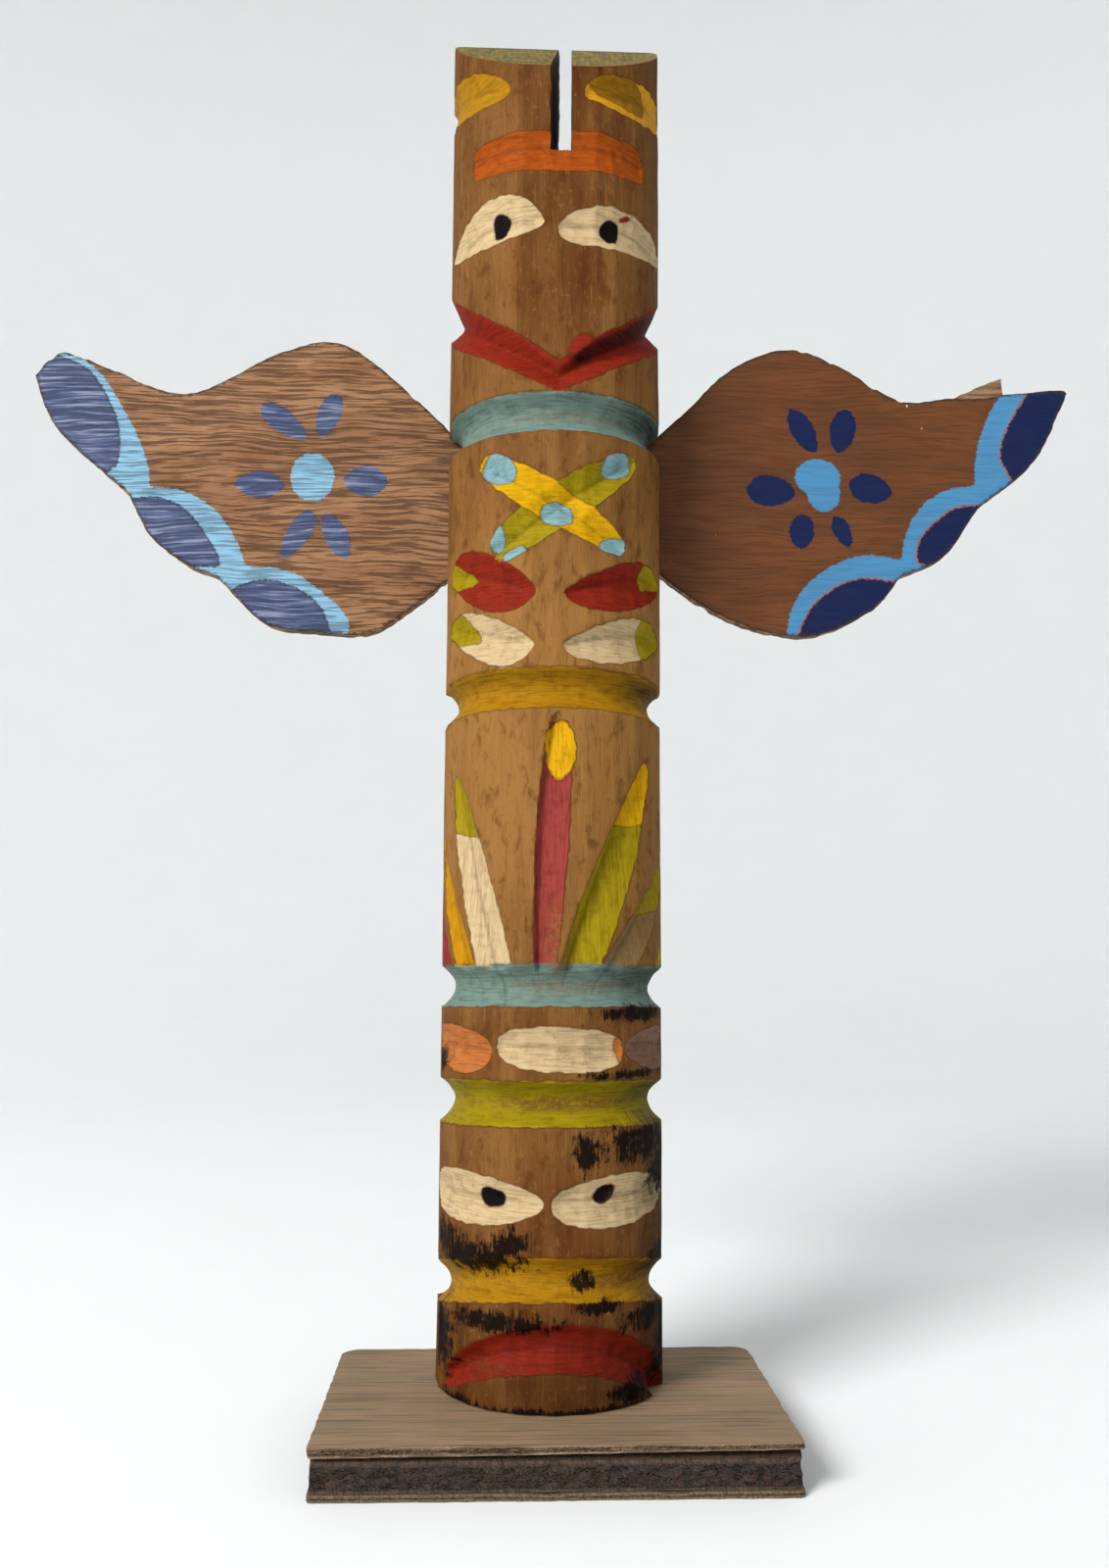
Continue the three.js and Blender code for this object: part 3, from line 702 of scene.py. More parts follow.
def dirt_spots(s, z):
    """Bark, stain and grime on the face, from 0 to 1."""
    spots = [((20, 85), (13, 2.2)), ((16, 73), (13, 1.2)), ((21, 59.6), (14, 4.8)), ((28, 54), (7, 7)),
             ((6, 58), (3.5, 5)), ((-18, 37.6), (14, 4.4)), ((-28, 40), (8, 4)), ((-9, 41), (5, 3.4)),
             ((24, 25.6), (12, 3.2)), ((30, 18), (7, 8)), ((-12, 26), (16, 2.6)), ((-29, 21), (7, 8)),
             ((9, 29), (6, 1.6)), ((6, 33.6), (4.4, 2.4)), ((3, 9.6), (30, 1.3)), ((18, 12.4), (9, 2.6)),
             ((-22, 9.5), (9, 2)), ((28, 36), (6, 4)), ((-33, 75), (5, 3))]
    stain = np.zeros(s.shape)
    for centre, halves in spots:
        stain = np.maximum(stain, np.clip(1.1 * oval(s, z, centre, halves) / min(halves) + 0.35, 0, 1))
    return stain


def shaded_spots(s, z):
    """Painted shade in the grooves, strongest at their right ends and upper walls, on the upper wall of the
    beak's right arm and low on the pole's right side, and a darkening towards the foot, from 0 to 1.
    """
    shade = np.zeros(s.shape)
    for name, groove in GROOVES.items():
        low, high = groove_edges(s, groove)
        inside = smooth(-0.4, 0.8, np.minimum(z - low, high - z))
        shade = np.maximum(shade, inside * (0.25 + 0.75 * smooth(8, 27, s)) * smooth(low, high - 1.5, z))
    upper, valley, lower = beak_heights(s)
    shade = np.maximum(shade, smooth(0, 1.5, np.minimum(upper - z, z - valley + 0.6)) * smooth(0, 5, s))
    shade = np.maximum(shade, 0.55 * smooth(36, 12, z) * smooth(-30, 20, s))
    return np.maximum(shade, 0.6 * smooth(14, 26, s) * smooth(92, 52, z))


def worn_spots(s, z):
    """Where the paint is rubbed thin, from 0 to 1."""
    spots = [((2, 67.5), (24, 2.2), 0.8), ((0.8, 99), (4, 10), 0.8), ((4, 208.6), (24, 1.8), 0.45),
             ((3, 90.6), (24, 1.9), 0.5), ((14, 33), (13, 2.5), 0.7), ((-16, 17), (10, 2), 0.5),
             ((26, 100), (9, 8), 0.6), ((3, 77), (10, 2.5), 0.35), ((18, 48), (10, 4), 0.3)]
    worn = np.zeros(s.shape)
    for centre, halves, most in spots:
        worn = np.maximum(worn, most * np.clip(1.3 * oval(s, z, centre, halves) / min(halves) + 0.2, 0, 1))
    return worn


def slot_cutter(settings):
    """A tall block with torn faces, to saw the slot with."""
    bm = bmesh.new()
    bmesh.ops.create_cube(bm, size=1)
    bmesh.ops.subdivide_edges(bm, edges=bm.edges[:], cuts=24, use_grid_fill=True)
    tear = settings.slot_tear / MM
    for vert in bm.verts:
        x = SLOT["centre"] + vert.co.x * SLOT["width"]
        y = vert.co.y * 46
        z = SLOT["bottom"] + (vert.co.z + 0.5) * 48
        rough = float(ripple(np.array(y / 2.1 + x * 9), np.array(z / 2.4), 3))
        fine = float(ripple(np.array(y / 0.9), np.array(z / 1.1 + x * 7), 4))
        behind = max(0.0, (y - PLANED["y"]) / (BACK_Y - PLANED["y"]))
        x += (SLOT["skew_left"] if vert.co.x < 0 else SLOT["skew_right"]) * behind * abs(vert.co.x) * 2
        x += tear * (0.6 * rough + 0.4 * fine) * (1.0 if vert.co.x < 0 else 0.4)
        z += tear * 0.5 * fine
        vert.co = Vector((x, y, z)) * MM
    return bpy.data.objects.new("slot_cutter", finished_mesh(bm, "slot cutter"))


def pole_mesh(settings):
    """The carved pole with its sloping top and slot, and the slope of the top."""
    low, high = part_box("pole")
    foot, top = low.z / MM, high.z / MM
    bm = bmesh.new()
    bmesh.ops.create_grid(bm, x_segments=182, y_segments=512, size=1)
    grid = np.array([v.co[:] for v in bm.verts])
    angle = column_angle(grid[:, 0])
    z = foot + (grid[:, 1] + 1) / 2 * (top - foot)
    reach = carved_reach(angle * RADIUS, z, settings)
    rounded = np.clip(1 - (top - z) / TOP_CUT["corner"], 0, 1)
    reach -= TOP_CUT["corner"] * (1 - np.sqrt(1 - 0.96 * rounded ** 2))
    places = np.column_stack([reach * np.sin(angle), AXIS_Y - reach * np.cos(angle), z]) * MM
    for vert, place in zip(bm.verts, places):
        vert.co = place
    bmesh.ops.remove_doubles(bm, verts=bm.verts, dist=1e-6)
    bmesh.ops.holes_fill(bm, edges=[e for e in bm.edges if e.is_boundary], sides=0)
    front_y = AXIS_Y - RADIUS
    slope = (top - TOP_CUT["front_z"]) / (TOP_CUT["ridge_y"] - front_y)
    bmesh.ops.bisect_plane(bm, geom=bm.verts[:] + bm.edges[:] + bm.faces[:],
                           plane_co=Vector((0, front_y, TOP_CUT["front_z"])) * MM,
                           plane_no=Vector((0, -slope, 1)).normalized(), clear_outer=True)
    bmesh.ops.holes_fill(bm, edges=[e for e in bm.edges if e.is_boundary], sides=0)
    bmesh.ops.recalc_face_normals(bm, faces=bm.faces)
    blank = bpy.data.objects.new("pole_blank", finished_mesh(bm, "pole blank"))
    cutter = slot_cutter(settings)
    for item in (blank, cutter):
        bpy.context.scene.collection.objects.link(item)
    saw = blank.modifiers.new("slot", "BOOLEAN")
    saw.operation = "DIFFERENCE"
    saw.solver = "MANIFOLD"
    saw.object = cutter
    depsgraph = bpy.context.evaluated_depsgraph_get()
    carved = bpy.data.meshes.new_from_object(blank.evaluated_get(depsgraph))
    bpy.data.objects.remove(blank)
    bpy.data.objects.remove(cutter)
    carved.name = "carved pole"
    return carved, slope


def mark_pole_sides(mesh, slope):
    """Gives the sloping top, the slot and the back their own materials."""
    half = SLOT["width"] / 2 + 0.9
    for polygon in mesh.polygons:
        x, y, z = polygon.center / MM
        normal = polygon.normal
        in_slot = abs(x - SLOT["centre"]) < half and z > SLOT["bottom"] - 1
        sloping = Vector((0, -slope, 1)).normalized()
        if normal.dot(sloping) > 0.97 and z > TOP_CUT["front_z"] - 2:
            polygon.material_index = 1
        elif in_slot and abs(normal.y) < 0.6:
            polygon.material_index = 2
        elif normal.y > 0.8 or abs(normal.z) > 0.95 and (z < 12 or z > 306):
            polygon.material_index = 2
        else:
            polygon.material_index = 0


def pole_wood(finish, settings, tone_field):
    """Colour of the bare wood, and its fine grain."""
    streaks = finish.speckle((1.5, 1.5, 26), 4, 0.6, 0.3)
    fine = finish.speckle((0.3, 0.3, 5), 3, 0.6, shift=(3, 5, 2))
    broad = finish.speckle((8, 8, 30), 3, 0.55, shift=(7, 1, 4))
    flecks = finish.speckle((1.0, 1.0, 1.6), 3, 0.6, 0.6, shift=(2, 8, 5))
    pale = finish.plus(tone_field, finish.step(broad, 0.3, 0.7, -0.17, 0.17))
    pale = finish.plus(pale, finish.step(streaks, 0.3, 0.7, -0.06, 0.06), clamp=True)
    wood = finish.mix(pale, settings.wood_dark, settings.wood_pale)
    wood = finish.mix(finish.step(flecks, 0.56, 0.72, 0.0, 0.45), wood, settings.wood_pale)
    wood = finish.mix(finish.step(fine, 0.55, 0.7, 0.0, 0.3), wood, settings.wood_dark)
    blotch = finish.speckle((2.4, 2.4, 4.5), 4, 0.65, 0.4, shift=(6, 3, 9))
    wood = finish.mix(finish.step(blotch, 0.5, 0.68, 0.0, 0.55), wood, settings.wood_dark)
    scratch = finish.speckle((0.5, 0.5, 16), 2, 0.5, shift=(9, 9, 1))
    wood = finish.mix(finish.step(scratch, 0.68, 0.74, 0.0, 0.5), wood, settings.wood_pale)
    return wood, fine


def painted_pole_finish(settings):
    """Stained wood with three worn coats of paint, grime and bark over it, and painted shade in the cut
    valleys, the grooves, the beak, the right side and along the paint's edges.
    """
    finish = Finish("carved painted wood")
    wood, fine = pole_wood(finish, settings, finish.field("tone"))
    face = finish.node("ShaderNodeCombineXYZ", {"X": finish.field("round"), "Z": finish.axis("Z")}).outputs[0]
    wobble = finish.speckle((2.6, 1, 2.6), 2, 0.5, place=face, unit=1.0)
    level = finish.speckle((7.0, 1, 0.4), 3, 0.6, 0.3, place=face, unit=1.0)
    upright = finish.speckle((0.45, 1, 7.0), 3, 0.6, 0.3, place=face, unit=1.0, shift=(4, 0, 2))
    amount = finish.field("upright")
    lying = finish.times(level, finish.math("SUBTRACT", 1.0, amount))
    brush = finish.plus(finish.times(upright, amount), lying)
    patch = finish.speckle((2.6, 1, 2.0), 4, 0.65, place=face, unit=1.0, shift=(8, 0, 3))
    rub = finish.speckle((1.6, 1, 0.8), 4, 0.7, place=face, unit=1.0, shift=(1, 0, 9))
    ragged = finish.step(wobble, 0.2, 0.8, -0.26, 0.26)
    thin = finish.step(rub, 0.66, 0.76, 0.0, 0.5)
    worn = finish.times(finish.field("worn"), finish.step(rub, 0.36, 0.56))
    worn = finish.plus(thin, worn, clamp=True)
    base = wood
    covered = None
    for number in (1, 2, 3):
        edge = finish.plus(finish.field(f"edge{number}"), ragged)
        paint = finish.node("ShaderNodeAttribute", {}, attribute_name=f"paint{number}").outputs["Color"]
        dark = finish.mix(0.7, paint, (0.22, 0.15, 0.1), "MULTIPLY")
        coat = finish.mix(finish.step(brush, 0.34, 0.56, 0.55, 0.0), paint, dark)
        grime = finish.times(finish.step(patch, 0.46, 0.68, 0.0, 0.45), finish.step(edge, 0.2, 1.4))
        coat = finish.mix(grime, coat, dark)
        mask = finish.times(finish.step(edge, -0.1, 0.1), finish.step(worn, 0, 1, 1.0, 0.1))
        # Painted shade: a thin dark line in the dark wood colour along every edge of the paint.
        rim = finish.times(finish.step(finish.math("ABSOLUTE", edge), 0.3, 0.08), 0.45)
        base = finish.mix(mask, base, coat)
        base = finish.mix(rim, base, settings.wood_dark)
        covered = mask if covered is None else finish.math("MAXIMUM", covered, mask)
    # Painted shade: the bottoms of the cuts' valleys are darkened towards the dark stain colour.
    valley_shade = finish.step(finish.field("depth"), 0.8, 1.0, 0.0, 0.3)
    base = finish.mix(valley_shade, base, settings.dirt_and_shade)
    # Painted shade from the shade field, darkened towards the dark stain colour and broken a little by the
    # brush strokes.
    shade = finish.times(finish.field("shade"), finish.step(brush, 0.3, 0.6, 0.92, 0.7))
    base = finish.mix(shade, base, settings.dirt_and_shade)
    scraped = finish.speckle((0.6, 1, 3.2), 4, 0.65, 0.5, place=face, unit=1.0, shift=(2, 0, 6))
    stain = finish.plus(finish.field("stain"), finish.step(patch, 0.3, 0.7, -0.3, 0.3))
    stain = finish.plus(stain, finish.step(scraped, 0.3, 0.7, -0.3, 0.3))
    base = finish.mix(finish.step(stain, 0.36, 0.9, 0.0, 0.97), base, settings.dirt_and_shade)
    speck = finish.speckle((0.7, 1, 0.6), 3, 0.6, place=face, unit=1.0, shift=(5, 0, 5))
    base = finish.mix(finish.step(speck, 0.6, 0.75, 0.0, 0.4), base, settings.wood_dark)
    smoother = finish.times(covered, 0.08)
    rough = finish.math("SUBTRACT", finish.step(fine, 0.3, 0.7, 0.62, 0.76), smoother)
    height = finish.times(fine, finish.step(covered, 0, 1, 1.0, 0.35))
    height = finish.plus(height, finish.times(brush, covered))
    height = finish.plus(height, finish.times(covered, 0.6))
    return finish.done(base, rough, finish.bump(height, 0.16), Specular_IOR_Level=0.05)


def green_top_finish(settings):
    """Thin green paint on the sloping top."""
    finish = Finish("green painted top")
    brush = finish.speckle((0.7, 6, 6), 4, 0.6, 0.3)
    patch = finish.speckle((4, 4, 4), 3, 0.6)
    dark = finish.mix(0.7, settings.green, (0.1, 0.07, 0.03), "MULTIPLY")
    base = finish.mix(finish.step(brush, 0.35, 0.65), dark, settings.green)
    base = finish.mix(finish.step(patch, 0.55, 0.8, 0.0, 0.5), base, settings.wood_dark)
    edge = finish.step(finish.axis("Z"), 305.0, 307.5, 0.0, 0.5)
    base = finish.mix(edge, base, settings.dirt_and_shade)
    normal = finish.bump(brush, 0.18)
    return finish.done(base, finish.step(patch, 0.3, 0.7, 0.5, 0.7), normal)


def raw_wood_finish(settings):
    """Bare wood of the back, the foot and the slot, with painted shade inside the slot."""
    finish = Finish("raw sawn wood")
    wood, fine = pole_wood(finish, settings, finish.step(finish.axis("Z"), 10, 300, 0.35, 0.1))
    saw = finish.speckle((9, 9, 0.7), 3, 0.6, 0.2)
    wood = finish.mix(finish.step(saw, 0.5, 0.7, 0.0, 0.45), wood, settings.dirt_and_shade)
    # Painted shade: the walls deep in the slot are darkened towards the dark stain colour.
    in_slot = finish.step(finish.axis("Z"), 262.0, 272.0)
    narrow = finish.step(finish.math("ABSOLUTE", finish.axis("X")), 4.0, 3.0)
    inside = finish.times(in_slot, narrow)
    wood = finish.mix(finish.times(inside, 0.55), wood, settings.dirt_and_shade)
    normal = finish.bump(finish.plus(saw, fine), 0.2)
    return finish.done(wood, finish.step(fine, 0.3, 0.7, 0.7, 0.85), normal)


def make_pole(settings):
    """The pole, with the fields that its paint is laid by."""
    mesh, slope = pole_mesh(settings)
    mark_pole_sides(mesh, slope)
    place = coordinates(mesh) / MM
    angle = np.arctan2(place[:, 0], AXIS_Y - place[:, 1])
    s, z = angle * RADIUS, place[:, 2]
    keep_coats(mesh, s, z, settings)
    keep_field(mesh, "round", s)
    keep_field(mesh, "stain", dirt_spots(s, z))
    keep_field(mesh, "worn", worn_spots(s, z))
    keep_field(mesh, "shade", shaded_spots(s, z))
    facets = np.where((z > PLANED["from"]) & (np.abs(s) < 9.5), -0.12, 0.08)
    keep_field(mesh, "tone", wood_height_tone(z) + facets)
    finishes = [painted_pole_finish(settings), green_top_finish(settings), raw_wood_finish(settings)]
    finish_piece("carved_pole", mesh, finishes, "pole", sharp=48)


# ---- the wings ---------------------------------------------------------------------------

def ragged_outline(edges, settings, seed, spacing=0.7):
    """A closed outline along smooth edges, evenly stepped and roughened inwards."""
    path = np.vstack([smooth_line(edge, 12)[:-1] if i + 1 < len(edges) else smooth_line(edge, 12)
                      for i, edge in enumerate(edges)])
    path = np.vstack([path, path[:1]])
    corners = np.vstack([edge[0] for edge in edges])
    runs = np.hypot(*np.diff(path, axis=0).T)
    travelled = np.concatenate([[0], np.cumsum(runs)])
    steps = np.linspace(0, travelled[-1], int(travelled[-1] / spacing), endpoint=False)
    outline = np.column_stack([np.interp(steps, travelled, path[:, i]) for i in (0, 1)])
    for corner in corners:
        nearest = np.argmin(np.hypot(*(outline - corner).T))
        outline[nearest] = corner
    before, after = np.roll(outline, 1, 0), np.roll(outline, -1, 0)
    run = after - before
    inward = np.column_stack([-run[:, 1], run[:, 0]]) / np.maximum(np.hypot(*run.T), 1e-9)[:, None]
    area = np.sum(outline[:, 0] * np.roll(outline[:, 1], -1) - np.roll(outline[:, 0], -1) * outline[:, 1])
    if area < 0:
        inward = -inward
    rough = 0.5 + 0.5 * ripple(steps / 1.3, steps * 0, seed)
    chips = smooth(0.55, 0.95, ripple(steps / 3.7, steps * 0, seed + 9))
    bite = settings.ragged / MM * (0.8 * rough + 1.5 * chips)
    return outline + inward * bite[:, None]


def add_ply(bm, outline, front, back, cell, soften):
    """One ply between two depths, its front cut into cells so that paint edges stay crisp."""
    ply = bmesh.new()
    ring = [ply.verts.new((x, front, z)) for x, z in outline]
    ply.faces.new(ring)
    low, high = outline.min(0), outline.max(0)
    for axis, normal in ((0, (1, 0, 0)), (1, (0, 0, 1))):
        cut_into_strips(ply, normal, low[axis] + cell * 0.37, high[axis], cell)
    rim = {v for e in ply.edges if e.is_boundary for v in e.verts}
    pushed = bmesh.ops.extrude_face_region(ply, geom=ply.faces[:])
    for item in pushed["geom"]:
        if isinstance(item, bmesh.types.BMVert):
            item.co.y = back
    for vert in rim:
        vert.co.y += soften
    add_ply_to(bm, ply)


def wing_fields(x, z):
    """Distance inside the pale and dark blue paint on the face of the board."""
    sky = np.full(x.shape, -9.0)
    navy = np.full(x.shape, -9.0)
    for outer, inner, tip in WING_TIPS:
        same_side = np.where(np.sign(x) == np.sign(tip[0]), 0, -50)
        band = beyond(x, z, outer, tip) + same_side
        dark = beyond(x, z, inner, tip) + same_side
        navy = np.maximum(np.minimum(navy, -band), dark)
        sky = np.maximum(sky, band)
    for start, end, half, widest, blunt in WING_PETALS:
        inside, _ = leaf(x, z, start, end, (half, widest), (half, widest), blunt)
        navy = np.maximum(navy, inside)
    for cx, cz, a, b in FLOWER_HEARTS:
        sky = np.maximum(sky, oval(x, z, (cx, cz), (a, b)))
    return np.clip(sky, -6, 6), np.clip(navy, -6, 6)


def make_wings(settings):
    """Both wings: three plies, the front one broken away at the splinter."""
    low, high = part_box("wings")
    front, back = low.y / MM, high.y / MM
    ply = settings.ply / MM
    whole = LEFT_WING + RIGHT_WING + SPLINTER + RIGHT_SHOULDER
    face_edges = LEFT_WING + RIGHT_WING + BROKEN_FACE + RIGHT_SHOULDER
    bm = bmesh.new()
    add_ply(bm, ragged_outline(face_edges, settings, 1), front, front + ply, 1.1, 0.16)
    add_ply(bm, ragged_outline(whole, settings, 2), front + ply + 0.03, back - ply - 0.03, 6, 0.05)
    add_ply(bm, ragged_outline(whole, settings, 3), back - ply, back, 6, 0.05)
    mesh = finished_mesh(bm, "plywood wings")
    place = coordinates(mesh)
    sky, navy = wing_fields(place[:, 0], place[:, 2])
    keep_field(mesh, "sky", sky)
    keep_field(mesh, "navy", navy)
    outline = smooth_outline(face_edges)
    # Distance to the face's outline, by which the material paints shade along the edge.
    rim, _ = distance_to_line(place[:, 0], place[:, 2], outline)
    keep_field(mesh, "rim", np.clip(rim, 0, 8))
    specks = np.full(len(place), -3.0)
    for number, spot in enumerate(PALE_SPECKS):
        specks = np.maximum(specks, 0.35 + 0.25 * ((number * 37) % 5) / 4
                            - np.hypot(place[:, 0] - spot[0], place[:, 2] - spot[1]))
    keep_field(mesh, "specks", specks)
    mesh.transform(Matrix.Scale(MM, 4))
    for polygon in mesh.polygons:
        facing = polygon.normal.y < -0.5
        on_face = polygon.center.y / MM < front + 0.3
        polygon.material_index = 0 if facing and on_face else 1
    finishes = [painted_board_finish(settings), ply_edge_finish(settings)]
    finish_piece("plywood_wings", mesh, finishes, "wings", sharp=35)


def smooth_outline(edges):
    """A closed line round some edges, not roughened."""
    path = np.vstack([smooth_line(edge, 8) for edge in edges])
    return np.vstack([path, path[:1]])


def painted_board_finish(settings):
    """Open-grained wood with two blues; the left wing is more worn, and its paler, greyer colours are painted
    sheen.
    """
    finish = Finish("painted plywood")
    across = finish.axis("X")
    # The left wing takes paler, greyer copies of the wood and the blues: partly its own colour and wear,
    # partly painted sheen of the light from the left.
    left = finish.step(across, 12.0, -12.0)
    bend = finish.speckle((34, 10, 16), 2, 0.5)
    lift = finish.times(finish.math("SUBTRACT", bend, 0.5), 0.006)
    parts = finish.node("ShaderNodeSeparateXYZ", {0: finish.place})
    bent_z = finish.plus(parts.outputs["Z"], lift)
    bent = finish.node("ShaderNodeCombineXYZ", {"X": parts.outputs["X"], "Y": parts.outputs["Y"],
                                                "Z": bent_z}).outputs[0]
    grain = finish.speckle((14, 3, 0.62), 3, 0.55, 0.25, place=bent)
    thin = finish.speckle((7, 3, 0.34), 2, 0.6, 0.2, place=bent, shift=(5, 2, 8))
    broad = finish.speckle((26, 9, 7), 3, 0.55, place=bent, shift=(2, 6, 1))
    pores = finish.step(grain, 0.50, 0.60)
    hair = finish.step(thin, 0.55, 0.68)
    lines = finish.math("MAXIMUM", pores, finish.times(hair, 0.6))
    wood_l = finish.mix(finish.step(broad, 0.35, 0.7, 0.0, 0.5), settings.wood_left, settings.wood_right)
    wood_l = finish.mix(finish.times(lines, 0.75), wood_l, settings.grain_left)
    wood_r = finish.mix(finish.step(broad, 0.35, 0.7, 0.0, 0.45), settings.wood_right, settings.grain_right)
    wood_r = finish.mix(finish.times(lines, 0.5), wood_r, settings.grain_right)
    base = finish.mix(left, wood_r, wood_l)
    wobble = finish.step(finish.speckle((1.1, 1.1, 0.7), 3, 0.6), 0.25, 0.75, -0.3, 0.3)
    sky = finish.plus(finish.field("sky"), wobble)
    navy = finish.plus(finish.field("navy"), wobble)
    sky_mask = finish.step(sky, -0.1, 0.1)
    navy_mask = finish.step(navy, -0.1, 0.1)
    through = finish.times(lines, finish.step(left, 0, 1, 0.16, 0.5))
    sky_coat = finish.mix(through, finish.mix(left, settings.sky, settings.left_sky_with_sheen), settings.grain_left)
    # Painted glare: pale grey streaks along the grain's ridges on the left wing's dark blue.
    ridge_glare = finish.times(finish.step(grain, 0.47, 0.36), left)
    navy_coat = finish.mix(left, settings.navy, settings.left_navy_with_sheen)
    navy_coat = finish.mix(finish.times(ridge_glare, 0.5), navy_coat, (0.26, 0.28, 0.36))
    navy_coat = finish.mix(finish.times(through, 1.0), navy_coat, (0.01, 0.012, 0.03))
    halo = finish.times(finish.step(finish.math("ABSOLUTE", navy), 0.34, 0.1), 0.75)
    outline = finish.mix(left, (0.22, 0.08, 0.03), (0.02, 0.02, 0.03))
    base = finish.mix(sky_mask, base, sky_coat)
    base = finish.mix(navy_mask, base, navy_coat)
    base = finish.mix(finish.times(halo, sky_mask), base, outline)
    specks = finish.step(finish.plus(finish.field("specks"), wobble), 0.2, 0.4)
    base = finish.mix(finish.times(specks, 0.85), base, (0.66, 0.5, 0.36))
    # Painted shade: the face darkens to near black within about a millimetre of the outline.
    rim = finish.plus(finish.field("rim"), finish.times(wobble, 1.5))
    base = finish.mix(finish.step(rim, 0.9, 0.3, 0.0, 0.85), base, (0.03, 0.018, 0.01))
    covered = finish.math("MAXIMUM", sky_mask, navy_mask)
    relief = finish.times(lines, finish.step(covered, 0, 1, -1.0, -0.7))
    relief = finish.times(relief, finish.step(left, 0, 1, 0.35, 1.0))
    normal = finish.bump(relief, 0.22)
    normal = finish.bump(covered, 0.05, normal)
    rough = finish.step(grain, 0.3, 0.7, 0.42, 0.6)
    return finish.done(base, rough, normal, Specular_IOR_Level=0.15)


def ply_edge_finish(settings):
    """Cut edges and back of the wings."""
    finish = Finish("plywood edge and back")
    grain = finish.speckle((12, 2, 0.7), 3, 0.6, 0.2)
    fibre = finish.speckle((0.5, 4, 0.5), 3, 0.6)
    base = finish.mix(finish.step(grain, 0.35, 0.65), settings.grain_right, settings.bare)
    middle = finish.step(finish.math("ABSOLUTE", finish.math("SUBTRACT", finish.axis("Y"), 16.8)), 0.6, 0.45)
    base = finish.mix(finish.times(middle, 0.55), base, (0.05, 0.03, 0.02))
    base = finish.mix(finish.step(fibre, 0.5, 0.7, 0.0, 0.5), base, (0.09, 0.07, 0.035))
    normal = finish.bump(finish.plus(grain, fibre), 0.25)
    return finish.done(base, finish.step(fibre, 0.3, 0.7, 0.75, 0.9), normal)


# ---- the base ----------------------------------------------------------------------------

def plate_outline(half_x, half_y, front_corner, back_corner, spacing=0.8):
    """The base's outline from above: nearly square front corners and rounder back ones."""
    points = []
    corners = [(-half_x, -half_y, front_corner, 180), (half_x, -half_y, front_corner, 270),
               (half_x, half_y, back_corner, 0), (-half_x, half_y, back_corner, 90)]
    for x, y, radius, start in corners:
        cx, cy = x - math.copysign(radius, x), y - math.copysign(radius, y)
        for step in range(7):
            turn = math.radians(start + step * 15)
            points.append((cx + radius * math.cos(turn), cy + radius * math.sin(turn)))
    points.append(points[0])
    path = np.array(points)
    travelled = np.concatenate([[0], np.cumsum(np.hypot(*np.diff(path, axis=0).T))])
    steps = np.linspace(0, travelled[-1], int(travelled[-1] / spacing), endpoint=False)
    return np.column_stack([np.interp(steps, travelled, path[:, i]) for i in (0, 1)])


def add_plate(bm, outline, levels, inset, rough, seed, shape):
    """One ply of the base: the outline carried up through its levels, each a little different."""
    ply = bmesh.new()
    faces = [ply.faces.new([ply.verts.new((x, y, levels[0])) for x, y in outline])]
    for level in levels[1:]:
        pushed = bmesh.ops.extrude_face_region(ply, geom=faces)["geom"]
        for vert in [item for item in pushed if isinstance(item, bmesh.types.BMVert)]:
            vert.co.z = level
        faces = [item for item in pushed if isinstance(item, bmesh.types.BMFace)]
    for axis, normal in ((0, (1, 0, 0)), (1, (0, 1, 0))):
        cut_into_strips(ply, normal, outline.min(0)[axis] + 1.9, outline.max(0)[axis], 3.0)
    half_x, half_y = outline.max(0)
    for vert in ply.verts:
        x, y, z = vert.co
        edge = min(half_x - abs(x), half_y - abs(y))
        around = x * 0.9 + y * 1.1
        amount = inset + rough * (0.5 + 0.5 * float(ripple(np.array(around / 1.7), np.array(z / 0.8), seed)))
        pull = amount * float(smooth(6.0, 0.0, np.array(edge)))
        vert.co.x -= pull * max(-1, min(1, x / half_x)) * (abs(x) > half_x - 6.5)
        vert.co.y -= pull * max(-1, min(1, y / half_y)) * (abs(y) > half_y - 6.5)
        vert.co.z = shape(x, y, z)
    add_ply_to(bm, ply)


